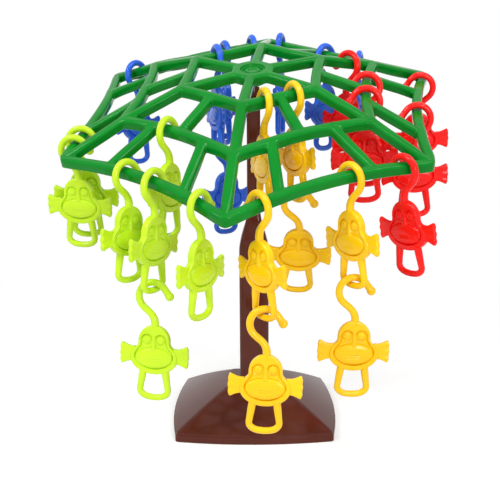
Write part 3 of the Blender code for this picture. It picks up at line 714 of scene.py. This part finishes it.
def ease_corner(corner, before, after, reach, distance):
    """A point on the curve that rounds a corner, at a distance along its second side."""
    share = 0.5 + 0.5 * distance / reach
    first, last = corner - before * reach, corner + after * reach
    near, far = first.lerp(corner, share), corner.lerp(last, share)
    return near.lerp(far, share)


def make_crown():
    """The whole lattice crown with its hub, as one moulding."""
    shape = bmesh.new()
    profile = rod_profile()
    outlines = [(cell, CELL_FILLET) for cell in crown_cells()]
    outlines.append((rim_stretches(), RIM_FILLET))
    for stretches, fillet in outlines:
        add_bands(shape, [inset_loop(stretches, *spot, fillet) for spot in profile])
    add_hub(shape)
    bmesh.ops.remove_doubles(shape, verts=shape.verts, dist=MERGE)
    crown = link_mesh(shape, "crown_lattice")
    place_piece(crown, crown_matrix())
    return crown


def add_hub(shape):
    """The hub's stepped recess above and its socket below."""
    edge = []
    for sector in range(CORNERS):
        edge += ring_stretch("hub", sector, 0.0, 1.0)[:-1]
    angles = [math.atan2(place.y, place.x) for place in edge]
    half = Vector((0.0, 0.0, ROD_HEIGHT / 2))
    above = [
        (RECESS_RADIUS + BEAD, 0.0),
        (RECESS_RADIUS, -BEAD),
        (RECESS_RADIUS - BEAD / 3, BEAD - STEP_DEPTH),
        (RECESS_RADIUS - BEAD, -STEP_DEPTH),
        (STEP_RADIUS + BEAD, -STEP_DEPTH),
        (STEP_RADIUS, -STEP_DEPTH - BEAD),
        (STEP_RADIUS - BEAD / 3, -RECESS_DEPTH),
        (BOSS_RADIUS + BEAD / 2, -RECESS_DEPTH),
        (BOSS_RADIUS, -RECESS_DEPTH + BEAD / 2),
        (BOSS_RADIUS - BEAD / 3, -BOSS_DEPTH - BEAD / 2),
        (BOSS_RADIUS - BEAD, -BOSS_DEPTH),
        (DIMPLE_RADIUS + BEAD, -BOSS_DEPTH),
        (DIMPLE_RADIUS, -BOSS_DEPTH - BEAD / 2),
        (DIMPLE_RADIUS - BEAD, -DIMPLE_DEPTH),
        (DIMPLE_RADIUS / 2, -DIMPLE_DEPTH),
    ]
    below = [
        (SOCKET_TUBE_RADIUS, HUB_TOP - HUB_THICKNESS),
        (SOCKET_TUBE_RADIUS - BEAD / 3, SOCKET_MOUTH + BEAD),
        (SOCKET_TUBE_RADIUS - BEAD, SOCKET_MOUTH),
        (SOCKET_BORE_RADIUS + BEAD, SOCKET_MOUTH),
        (SOCKET_BORE_RADIUS, SOCKET_MOUTH + BEAD),
        (SOCKET_BORE_RADIUS, SOCKET_CEILING),
    ]
    for profile, offset, rise in ((above, half, HUB_TOP), (below, -half, 0.0)):
        rings = [[place + offset for place in edge]]
        rings += [circle_ring(radius, rise + height, angles) for radius, height in profile]
        shape.faces.new(add_bands(shape, rings)[-1])


def crown_matrix():
    """Where the crown stands at rest: about the pivot, leaned and turned."""
    place = Matrix.Translation((0.0, 0.0, PIVOT_HEIGHT))
    forward = Matrix.Rotation(math.radians(LEAN_FORWARD_DEGREES), 4, "X")
    sideways = Matrix.Rotation(math.radians(LEAN_SIDE_DEGREES), 4, "Y")
    spin = Matrix.Rotation(math.radians(SPIN_DEGREES), 4, "Z")
    return place @ sideways @ forward @ spin


def oval_distance(x, z, half_width, half_height):
    """About how far a point lies outside an oval; negative inside."""
    share = math.hypot(x / half_width, z / half_height)
    slope = math.hypot(x / half_width**2, z / half_height**2)
    if slope < LEAST_SLOPE:
        return -min(half_width, half_height)
    return share * (share - 1.0) / slope


def head_distance(x, z):
    """About how far a point lies outside the head: a dome eased into the muzzle."""
    dome = math.hypot(x, z) - DOME_RADIUS
    muzzle = oval_distance(x, z + MUZZLE_DROP, MUZZLE_HALF_WIDTH, MUZZLE_HALF_HEIGHT)
    blend = max(CHEEK_BLEND - abs(dome - muzzle), 0.0) / CHEEK_BLEND
    return min(dome, muzzle) - blend * blend * CHEEK_BLEND / 4.0


def arch_distance(x, z):
    """About how far a point lies outside the two arches over the eyes."""
    side = abs(x) - EYE_SPREAD
    return math.hypot(side, max(z - EYE_RISE, 0.0)) - ARCH_RADIUS


def panel_distance(x, z):
    """About how far a point lies outside the muzzle's panel."""
    return oval_distance(x, z + PANEL_DROP, PANEL_HALF_WIDTH, PANEL_HALF_HEIGHT)


def field_distance(x, z):
    """About how far a point lies outside the face inside the head's border."""
    arch = max(arch_distance(x, z), -(z + PANEL_DROP))
    cheeks = oval_distance(x, z + FIELD_DROP, PANEL_HALF_WIDTH, FIELD_HALF_HEIGHT)
    blend = max(FIELD_BLEND - abs(arch - cheeks), 0.0) / FIELD_BLEND
    return min(arch, cheeks) - blend * blend * FIELD_BLEND / 4.0


def outline_reach(distance, angle):
    """How far an outline is from the head's centre in one direction."""
    near, far = 0.0, 2.0 * MUZZLE_HALF_WIDTH
    for _ in range(SEARCH_STEPS):
        middle = (near + far) / 2
        x = middle * math.cos(angle)
        z = middle * math.sin(angle) - HEAD_CENTRE_DROP
        if distance(x, z) < 0.0:
            near = middle
        else:
            far = middle
    return near


def rounded_edge(distance, side, full, radius):
    """Half the thickness of a plate at a distance from its rounded edge."""
    share = min(1.0, max(0.0, distance / radius))
    return side + (full - side) * math.sqrt(1.0 - (1.0 - share) ** 2)


def drawn_line(distance, width, depth):
    """How deep a narrow groove is at a distance from its middle."""
    return depth * math.exp(-((distance / width) ** 2))


def panel_height(x, z):
    """Half the thickness over the muzzle: a crowned panel with a drawn mouth."""
    share = math.hypot(x / PANEL_HALF_WIDTH, (z + PANEL_DROP) / PANEL_HALF_HEIGHT)
    height = PANEL_LEVEL + PANEL_BULGE * math.sqrt(max(0.0, 1.0 - share**PANEL_POWER))
    full = MOUTH_HALF_WIDTH * MOUTH_FULL_SHARE
    reach = smooth_step(MOUTH_HALF_WIDTH, full, abs(x))
    for gap in (0.0, MOUTH_GAP):
        height -= reach * drawn_line(z + MOUTH_DROP + gap, LINE_WIDTH, MOUTH_DEPTH)
    return height


def eye_height(x, z):
    """Half the thickness over the eyes: sunk sockets with a round eye in each."""
    eye = math.hypot(abs(x) - EYE_SPREAD, z - EYE_RISE)
    if eye > EYE_RADIUS:
        return SOCKET_LEVEL - drawn_line(eye - EYE_RADIUS, GROOVE_WIDTH, GROOVE_DEPTH / 4)
    return SOCKET_LEVEL + EYE_BULGE * math.sqrt(1.0 - (eye / EYE_RADIUS) ** 2)


def nose_height(x, z):
    """Half the thickness over the narrow nose; nothing beside it."""
    share = smooth_step(NOSE_TOP, NOSE_BOTTOM, z)
    half = NOSE_HALF_WIDTH + (NOSE_TIP_HALF_WIDTH - NOSE_HALF_WIDTH) * share
    level = NOSE_LEVEL + (NOSE_TIP_LEVEL - NOSE_LEVEL) * share
    nearest = min(NOSE_TOP - half, max(NOSE_BOTTOM + half, z))
    off = math.hypot(x, z - nearest) / half
    if off > NOSE_REACH:
        return 0.0
    return level - NOSE_CROWN * off * off - NOSE_SKIRT * max(0.0, off - 1.0)


def face_height(x, z):
    """Half the head's thickness over a point of the face, with its relief."""
    height = rounded_edge(-head_distance(x, z), HEAD_SIDE, HEAD_HALF_THICKNESS, HEAD_ROUND)
    inside = -field_distance(x, z)
    if inside > 0.0:
        panel = panel_distance(x, z)
        rise = smooth_step(*PANEL_STEP, panel)
        height = eye_height(x, z) * (1.0 - rise) + panel_height(x, z) * rise
        height -= drawn_line(panel, GROOVE_WIDTH, GROOVE_DEPTH / 2)
    height -= drawn_line(inside - GROOVE_WIDTH / 2, GROOVE_WIDTH, GROOVE_DEPTH)
    return max(height, nose_height(x, z))


def head_radii(field, outline):
    """Where the rings of the head's mesh run in one direction."""
    radii = []
    for ring in range(1, FIELD_RINGS + 1):
        radii.append(field * (1.0 - (1.0 - ring / FIELD_RINGS) ** FIELD_CROWDING))
    for ring in range(1, BORDER_RINGS + 1):
        share = math.sin(ring / BORDER_RINGS * math.pi / 2)
        radii.append(field + (outline - field) * share)
    return radii


def face_ring(rays, ring, side):
    """One ring of the head's mesh on one side of the face."""
    places = []
    for across, up, radii in rays:
        x, z = radii[ring] * across, radii[ring] * up - HEAD_CENTRE_DROP
        places.append((x, side * face_height(x, z), z))
    return places


def make_head():
    """The head as a plate with the same relief on both of its faces."""
    shape = bmesh.new()
    rays = []
    for index in range(HEAD_RAYS):
        angle = (index + 0.5) * math.tau / HEAD_RAYS
        field = outline_reach(field_distance, angle)
        radii = head_radii(field, outline_reach(head_distance, angle))
        rays.append((math.cos(angle), math.sin(angle), radii))
    middle = face_height(0.0, -HEAD_CENTRE_DROP)
    edges = []
    for side in (-1.0, 1.0):
        rings = [face_ring(rays, ring, side) for ring in range(FIELD_RINGS + BORDER_RINGS)]
        loops = add_bands(shape, rings)
        centre = shape.verts.new((0.0, side * middle, -HEAD_CENTRE_DROP))
        for index, place in enumerate(loops[0]):
            shape.faces.new((place, loops[0][(index + 1) % HEAD_RAYS], centre))
        edges.append(loops[-1])
    join_loops(shape, edges[0], edges[1])
    return link_mesh(shape, "head")


def ear_half_height(x, tip):
    """Half an ear's height at a distance from the head's middle."""
    spread = smooth_step(EAR_NECK - EAR_CORNER, EAR_TIP + 2 * EAR_CORNER, x)
    waist = EAR_NECK_HALF_HEIGHT
    half = waist + (EAR_TIP_HALF_HEIGHT - waist) * spread * EAR_FLARE
    beyond = min(1.0, max(0.0, (x - tip + EAR_CORNER) / EAR_CORNER))
    return half - EAR_CORNER * (1.0 - math.sqrt(1.0 - beyond * beyond))


def ear_point(side, face, along, share):
    """A point on one face of an ear, from shares along it and across it."""
    across = math.copysign(1.0 - (1.0 - abs(share)) ** EAR_SIDE_CROWDING, share)
    dip = 0.5 - 0.5 * math.cos(across * math.pi * EAR_LOBES)
    tip = EAR_TIP - EAR_ARC * across * across - EAR_SCALLOP * dip
    x = EAR_ROOT + (tip - EAR_ROOT) * along
    half = ear_half_height(x, tip)
    edge = min((1.0 - abs(across)) * half, (1.0 - along) * (tip - EAR_ROOT))
    height = rounded_edge(edge, EAR_SIDE, EAR_HALF_THICKNESS, EAR_ROUND)
    height -= EAR_RIB * dip * smooth_step(EAR_NECK, EAR_TIP, x)
    return side * x, face * height, across * half - EAR_DROP


def make_ear(side):
    """One fan-shaped ear: a waisted neck, a bowed edge and faint ribs."""
    shape = bmesh.new()
    edges = []
    for face in (-1.0, 1.0):
        sheet = []
        for column in range(EAR_COLUMNS + 1):
            along = 1.0 - (1.0 - column / EAR_COLUMNS) ** EAR_TIP_CROWDING
            strip = [
                ear_point(side, face, along, 2.0 * row / EAR_ROWS - 1.0)
                for row in range(EAR_ROWS + 1)
            ]
            sheet.append(add_loop(shape, strip))
        for near, far in zip(sheet, sheet[1:]):
            for row in range(EAR_ROWS):
                shape.faces.new((near[row], near[row + 1], far[row + 1], far[row]))
        edge = sheet[0] + [strip[-1] for strip in sheet[1:]]
        edge += sheet[-1][-2::-1] + [strip[0] for strip in sheet[-2:0:-1]]
        edges.append(edge)
    join_loops(shape, edges[0], edges[1])
    return link_mesh(shape, "ear")


def make_wire(name, path, radii):
    """A round wire along a path in the monkey's plane, its ends closed."""
    rings = []
    for index, (place, radius) in enumerate(zip(path, radii)):
        before, after = path[max(index - 1, 0)], path[min(index + 1, len(path) - 1)]
        along = (after - before).normalized()
        over = Vector((along.z, 0.0, -along.x))
        ring = []
        for angle in even_angles(WIRE_SIDES):
            across = Vector((0.0, radius * math.sin(angle), 0.0))
            ring.append(place + over * radius * math.cos(angle) + across)
        rings.append(ring)
    return make_loft(name, rings)


def curve_point(points, share):
    """A point on the curve that four guide points draw."""
    while len(points) > 1:
        points = [first.lerp(last, share) for first, last in zip(points, points[1:])]
    return points[0]


def arm(degrees):
    """The direction at an angle in the monkey's plane."""
    angle = math.radians(degrees)
    return Vector((math.cos(angle), 0.0, math.sin(angle)))


def make_hook():
    """The hook: a ball tip, a round bend and a stem that eases into the head."""
    centre = HOOK_BEND_CENTRE
    path, radii = [], []
    start = centre + HOOK_BEND_RADIUS * arm(HOOK_START_DEGREES)
    outward = arm(HOOK_START_DEGREES - 90.0)
    for step in range(BALL_STEPS + 1):
        angle = math.pi * (BALL_FIRST_TURN + BALL_TURN * step / BALL_STEPS)
        path.append(start + outward * (HOOK_TIP_LENGTH + BALL_RADIUS * math.cos(angle)))
        least = HOOK_RADIUS if step > BALL_FREE_STEPS else 0.0
        radii.append(max(BALL_RADIUS * math.sin(angle), least))
    path.append(start + outward * HOOK_TIP_LENGTH * HOOK_ARM_SHARE)
    radii.append(HOOK_RADIUS)
    for step in range(BEND_STEPS + 1):
        share = step / BEND_STEPS
        angle = HOOK_START_DEGREES + (HOOK_FINISH_DEGREES - HOOK_START_DEGREES) * share
        path.append(centre + HOOK_BEND_RADIUS * arm(angle))
        radii.append(HOOK_RADIUS)
    root = Vector((HOOK_BEND_OFFSET / 4, 0.0, DOME_RADIUS))
    leave = arm(HOOK_FINISH_DEGREES + 90.0) * HOOK_BEND_RADIUS * STEM_LEAVE_SHARE
    arrive = Vector((0.0, 0.0, HOOK_BEND_RADIUS * STEM_ROOT_SHARE))
    guides = [path[-1], path[-1] + leave, root + arrive, root]
    for step in range(1, STEM_STEPS + 1):
        place = curve_point(guides, step / STEM_STEPS)
        path.append(place)
        flare = smooth_step(STEM_FLARE_LENGTH, 0.0, place.z - root.z)
        radii.append(HOOK_RADIUS + (STEM_ROOT_RADIUS - HOOK_RADIUS) * flare)
    path.append(root - Vector((0.0, 0.0, HEAD_HALF_THICKNESS)))
    radii.append(STEM_ROOT_RADIUS)
    return make_wire("hook", path, radii)


def make_loop():
    """The loop below the head: two splayed legs, round corners and a sagging bar."""
    chin = -MUZZLE_DROP - MUZZLE_HALF_HEIGHT * LOOP_ROOT_SHARE
    bottom = -(MUZZLE_DROP + MUZZLE_HALF_HEIGHT + LOOP_DEPTH)
    width = LOOP_HALF_WIDTH
    root = Vector((LOOP_ROOT_HALF_WIDTH, 0.0, chin))
    knee = Vector((width, 0.0, bottom + width * LOOP_KNEE_SHARE))
    foot = Vector((width * LOOP_FOOT_SHARE, 0.0, bottom - LOOP_SAG / 2))
    low = knee + (knee - root).normalized() * width * LOOP_KNEE_PULL
    corner = [knee, low, foot + Vector((width * LOOP_FOOT_PULL, 0.0, LOOP_SAG)), foot]
    half, radii = [], []
    for step in range(LOOP_LEG_STEPS):
        share = step / LOOP_LEG_STEPS
        half.append(root.lerp(knee, share))
        flare = smooth_step(1.0, LOOP_FLARE_END, share)
        radii.append(LOOP_RADIUS + (LOOP_ROOT_RADIUS - LOOP_RADIUS) * flare)
    for step in range(LOOP_CORNER_STEPS + 1):
        half.append(curve_point(corner, step / LOOP_CORNER_STEPS))
        radii.append(LOOP_RADIUS)
    half.append(Vector((0.0, 0.0, bottom - LOOP_SAG)))
    radii.append(LOOP_RADIUS)
    path = half + [Vector((-place.x, 0.0, place.z)) for place in reversed(half[:-1])]
    return make_wire("loop", path, radii + radii[-2::-1])


def make_monkey():
    """One monkey: head, ears, hook and loop as one moulding."""
    monkey = make_head()
    for piece in (make_ear(-1.0), make_ear(1.0), make_hook(), make_loop()):
        combine(monkey, piece, "UNION")
    monkey.name = "monkey_pattern"
    return monkey


def hanging_matrix(joint, node):
    """Where a monkey hangs: its hinge gives place and plane, its node the height."""
    across = Vector(joint["axis"]).normalized()
    side = across.cross(Vector((0.0, 0.0, 1.0))).normalized()
    up = side.cross(across)
    origin = Vector(joint["pos_m"])
    top = max((vertex.co - origin).dot(up) for vertex in node.data.vertices)
    plane = Matrix((side, across, up)).transposed().to_4x4()
    turn = Matrix.Rotation(math.radians(HANG_TURN_DEGREES), 4, "Y")
    lift = Matrix.Translation((0.0, 0.0, top - CAD_HOOK_TOP))
    hung = Matrix.Translation(-HOOK_BEND_CENTRE)
    return Matrix.Translation(origin) @ plane @ lift @ turn @ hung


class Finish:
    """A node-built material in the making."""

    def __init__(self, name):
        self.material = bpy.data.materials.new(name)
        self.material.use_nodes = True
        self.tree = self.material.node_tree
        self.shader = self.tree.nodes["Principled BSDF"]

    def node(self, kind, **settings):
        """A node of one kind, with its own settings."""
        made = self.tree.nodes.new(kind)
        for name, value in settings.items():
            setattr(made, name, value)
        return made

    def join(self, output, socket):
        """A link from an output to an input."""
        self.tree.links.new(output, socket)

    def noise(self, coordinates, seed, kind):
        """A noise whose pattern differs from one object to the next."""
        made = self.node("ShaderNodeTexNoise", noise_dimensions="4D")
        made.inputs["Scale"].default_value, made.inputs["Detail"].default_value = kind
        self.join(coordinates, made.inputs["Vector"])
        self.join(seed, made.inputs["W"])
        return made.outputs["Fac"]

    def ramp(self, value, low, high, lowest, highest):
        """A value mapped from one range to another."""
        made = self.node("ShaderNodeMapRange")
        for socket, number in zip(made.inputs[1:5], (low, high, lowest, highest)):
            socket.default_value = number
        self.join(value, made.inputs["Value"])
        return made.outputs["Result"]

    def scale(self, value, factor):
        """A share from 0 to 1 times a number."""
        return self.ramp(value, 0.0, 1.0, 0.0, factor)

    def add(self, first, second):
        """The sum of two values."""
        made = self.node("ShaderNodeMath", operation="ADD")
        self.join(first, made.inputs[0])
        self.join(second, made.inputs[1])
        return made.outputs[0]

    def between(self, share, first, second):
        """A colour between two others."""
        made = self.node("ShaderNodeMix", data_type="RGBA")
        for socket, colour in ((made.inputs[6], first), (made.inputs[7], second)):
            socket.default_value = (*colour, 1.0)
        self.join(share, made.inputs[0])
        return made.outputs[2]

    def stretched(self, coordinates, scale, turn=(0.0, 0.0, 0.0)):
        """Coordinates turned and stretched."""
        made = self.node("ShaderNodeMapping")
        made.inputs["Rotation"].default_value = turn
        made.inputs["Scale"].default_value = scale
        self.join(coordinates, made.inputs["Vector"])
        return made.outputs["Vector"]

    def bump(self, height, strength, distance):
        """A fine relief on the shader's surface."""
        made = self.node("ShaderNodeBump")
        made.inputs["Strength"].default_value = strength
        made.inputs["Distance"].default_value = distance
        self.join(height, made.inputs["Height"])
        self.join(made.outputs["Normal"], self.shader.inputs["Normal"])


def make_plastic(name):
    """Glossy moulded plastic: clouded colour, fine skin, faint flow lines and scuffs."""
    colour, roughness, shine = PLASTICS[name]
    finish = Finish(name)
    inputs = finish.shader.inputs
    place = finish.node("ShaderNodeTexCoord").outputs["Object"]
    seed = finish.scale(finish.node("ShaderNodeObjectInfo").outputs["Random"], SEEDS)
    clouds = finish.noise(place, seed, CLOUDS)
    skin = finish.noise(place, seed, SKIN)
    ripple = finish.noise(place, seed, RIPPLE)
    streaks = finish.stretched(place, SCUFF_STRETCH, SCUFF_TURN)
    scuff = finish.ramp(finish.noise(streaks, seed, SCUFFS), *SCUFF_SPAN, 0.0, 1.0)
    deep = tuple(channel * DEEP_TINT for channel in colour)
    pale = tuple(min(1.0, channel * PALE_TINT + PALE_LIFT) for channel in colour)
    share = finish.ramp(clouds, *MIDDLE_SPAN, 0.0, 1.0)
    finish.join(finish.between(share, deep, pale), inputs["Base Color"])
    least, most = (roughness + spread for spread in GLOSS_SPREAD)
    gloss = finish.ramp(ripple, *MIDDLE_SPAN, least, most)
    worn = finish.scale(scuff, SCUFF_ROUGHNESS)
    finish.join(finish.add(gloss, worn), inputs["Roughness"])
    relief = finish.add(skin, finish.scale(scuff, SCUFF_RELIEF))
    waves = finish.add(relief, finish.scale(ripple, RIPPLE_RELIEF))
    finish.bump(waves, *PLASTIC_BUMP)
    inputs["IOR"].default_value = PLASTIC_IOR
    inputs["Specular IOR Level"].default_value = shine
    if name in SCATTER_REACH:
        inputs["Subsurface Weight"].default_value = SCATTER_WEIGHT
        inputs["Subsurface Radius"].default_value = SCATTER_REACH[name]
        inputs["Subsurface Scale"].default_value = SCATTER_DEPTH
    return finish.material


def make_steel():
    """Turned steel: fine rings of the lathe and a little tarnish."""
    finish = Finish("pin_metal")
    inputs = finish.shader.inputs
    place = finish.node("ShaderNodeTexCoord").outputs["Object"]
    seed = finish.node("ShaderNodeObjectInfo").outputs["Random"]
    lathe = finish.noise(finish.stretched(place, LATHE_STRETCH), seed, LATHE)
    tarnish = finish.noise(place, seed, TARNISH)
    dull = tuple(channel * STEEL_DULL_TINT for channel in STEEL_COLOUR)
    share = finish.ramp(tarnish, *TARNISH_SPAN, 0.0, 1.0)
    finish.join(finish.between(share, dull, STEEL_COLOUR), inputs["Base Color"])
    finish.join(finish.ramp(lathe, *MIDDLE_SPAN, *STEEL_ROUGHNESS), inputs["Roughness"])
    finish.bump(lathe, *STEEL_BUMP)
    inputs["Metallic"].default_value = 1.0
    return finish.material


def seen_share(tree):
    """1 for what the camera sees straight, in a gloss or through glass, and else 0."""
    path = tree.nodes.new("ShaderNodeLightPath")
    share = path.outputs["Is Camera Ray"]
    for name in ("Is Glossy Ray", "Is Transmission Ray"):
        made = tree.nodes.new("ShaderNodeMath")
        made.operation = "MAXIMUM"
        tree.links.new(share, made.inputs[0])
        tree.links.new(path.outputs[name], made.inputs[1])
        share = made.outputs[0]
    return share


def make_world():
    """Even pale light all round, seen as white."""
    world = bpy.data.worlds.new("studio")
    bpy.context.scene.world = world
    world.use_nodes = True
    tree = world.node_tree
    background = tree.nodes["Background"]
    background.inputs["Color"].default_value = (1.0, 1.0, 1.0, 1.0)
    strength = tree.nodes.new("ShaderNodeMapRange")
    for socket, number in zip(strength.inputs[1:5], (0.0, 1.0, ROOM_LIGHT, 1.0)):
        socket.default_value = number
    tree.links.new(seen_share(tree), strength.inputs["Value"])
    tree.links.new(strength.outputs["Result"], background.inputs["Strength"])


def make_floor():
    """A pale floor that takes the shadow and runs out into the white all round."""
    reach = FLOOR_REACH
    shape = bmesh.new()
    corners = ((-reach, -reach), (reach, -reach), (reach, reach), (-reach, reach))
    shape.faces.new([shape.verts.new((x, y, 0.0)) for x, y in corners])
    floor = link_mesh(shape, "studio_floor")
    finish = Finish("floor_white")
    inputs = finish.shader.inputs
    seen = seen_share(finish.tree)
    distance = finish.node("ShaderNodeVectorMath", operation="LENGTH")
    finish.join(finish.node("ShaderNodeTexCoord").outputs["Object"], distance.inputs[0])
    far = finish.ramp(distance.outputs["Value"], *FLOOR_FADE, 0.0, 1.0)
    share = finish.node("ShaderNodeMath", operation="MULTIPLY")
    finish.join(seen, share.inputs[0])
    finish.join(far, share.inputs[1])
    colour = finish.between(share.outputs[0], (FLOOR_GREY,) * 3, (0.0, 0.0, 0.0))
    finish.join(colour, inputs["Base Color"])
    inputs["Roughness"].default_value = FLOOR_ROUGHNESS
    inputs["Specular IOR Level"].default_value = 0.0
    inputs["Emission Color"].default_value = (1.0, 1.0, 1.0, 1.0)
    near_glow = finish.scale(seen, FLOOR_NEAR_GLOW)
    far_glow = finish.scale(share.outputs[0], FLOOR_FAR_GLOW)
    finish.join(finish.add(near_glow, far_glow), inputs["Emission Strength"])
    floor.data.materials.append(finish.material)


def make_lamp(name, turn_degrees, rise_degrees, width, depth, power):
    """A soft box that points at the middle of the game, turned from the front."""
    turn, rise = math.radians(turn_degrees), math.radians(rise_degrees)
    level, height = LAMP_DISTANCE * math.cos(rise), LAMP_DISTANCE * math.sin(rise)
    away = Vector((level * math.sin(turn), -level * math.cos(turn), height))
    lamp = bpy.data.lights.new(name, "AREA")
    lamp.shape = "RECTANGLE"
    lamp.size = width
    lamp.size_y = depth
    lamp.energy = power
    item = add_object(name, lamp)
    item.location = Vector((0.0, 0.0, CAMERA_AIM_HEIGHT)) + away
    item.rotation_euler = (-away).to_track_quat("-Z", "Y").to_euler()


def make_camera():
    """The photograph's camera."""
    pitch = CAMERA_PITCH
    back = Vector((0.0, -math.cos(pitch), math.sin(pitch)))
    place = Vector((0.0, 0.0, CAMERA_AIM_HEIGHT)) + back * CAMERA_DISTANCE
    data = bpy.data.cameras.new("photo_camera")
    data.sensor_width = SENSOR_WIDTH
    data.lens = FOCAL_PIXELS / FRAME_PIXELS * SENSOR_WIDTH
    data.shift_x = -(CENTRE_X_PIXELS - FRAME_PIXELS / 2) / FRAME_PIXELS
    data.shift_y = (CENTRE_Y_PIXELS - FRAME_PIXELS / 2) / FRAME_PIXELS
    data.clip_start = CLIP_START
    camera = add_object("photo_camera", data)
    tilt = Matrix.Rotation(math.pi / 2 - pitch, 4, "X")
    roll = Matrix.Rotation(CAMERA_ROLL, 4, "Z")
    camera.matrix_world = Matrix.Translation(place) @ tilt @ roll
    bpy.context.scene.camera = camera


def dress_mouldings(materials):
    """The base, the trunk and the crown in place of their nodes."""
    pieces = (
        (make_base(), "stand", "base", "brown_plastic", BROWN_SHARP_DEGREES),
        (make_trunk(), "stand", "trunk", "brown_plastic", BROWN_SHARP_DEGREES),
        (make_crown(), "crown", "crown", "green_plastic", CROWN_SHARP_DEGREES),
    )
    for piece, body, node, slot, sharp in pieces:
        finish_piece(piece, sharp, materials[slot])
        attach(piece, body)
        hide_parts(node)


def dress_monkeys(materials):
    """A moulded monkey in place of each monkey's node."""
    hinges = {joint["child"]: joint for joint in frame["joints"]}
    pattern = make_monkey()
    for name in sorted(node for node in frame["nodes"] if "monkey" in node):
        slot = name.split("_")[0] + "_plastic"
        piece = add_object("hooked_" + name, pattern.data.copy())
        place_piece(piece, hanging_matrix(hinges[name], frame["nodes"][name]))
        finish_piece(piece, MONKEY_SHARP_DEGREES, materials[slot])
        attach(piece, name)
        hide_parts(name)
    bpy.data.objects.remove(pattern, do_unlink=True)


def dress_pivot(materials):
    """The pin and the cup keep their nodes and get real finishes."""
    for name, slot in (("pivot_pin", "pin_metal"), ("pivot_cup", "green_plastic")):
        node = frame["nodes"][name]
        for holder in node.material_slots:
            holder.material = materials[slot]


def build():
    """Build every piece, the studio and the camera."""
    bpy.context.scene.view_settings.view_transform = "Standard"
    make_camera()
    materials = {name: make_plastic(name) for name in PLASTICS}
    materials["pin_metal"] = make_steel()
    dress_mouldings(materials)
    dress_monkeys(materials)
    dress_pivot(materials)
    make_world()
    for name, lamp in LAMPS.items():
        make_lamp(name, *lamp)
    make_floor()


build()
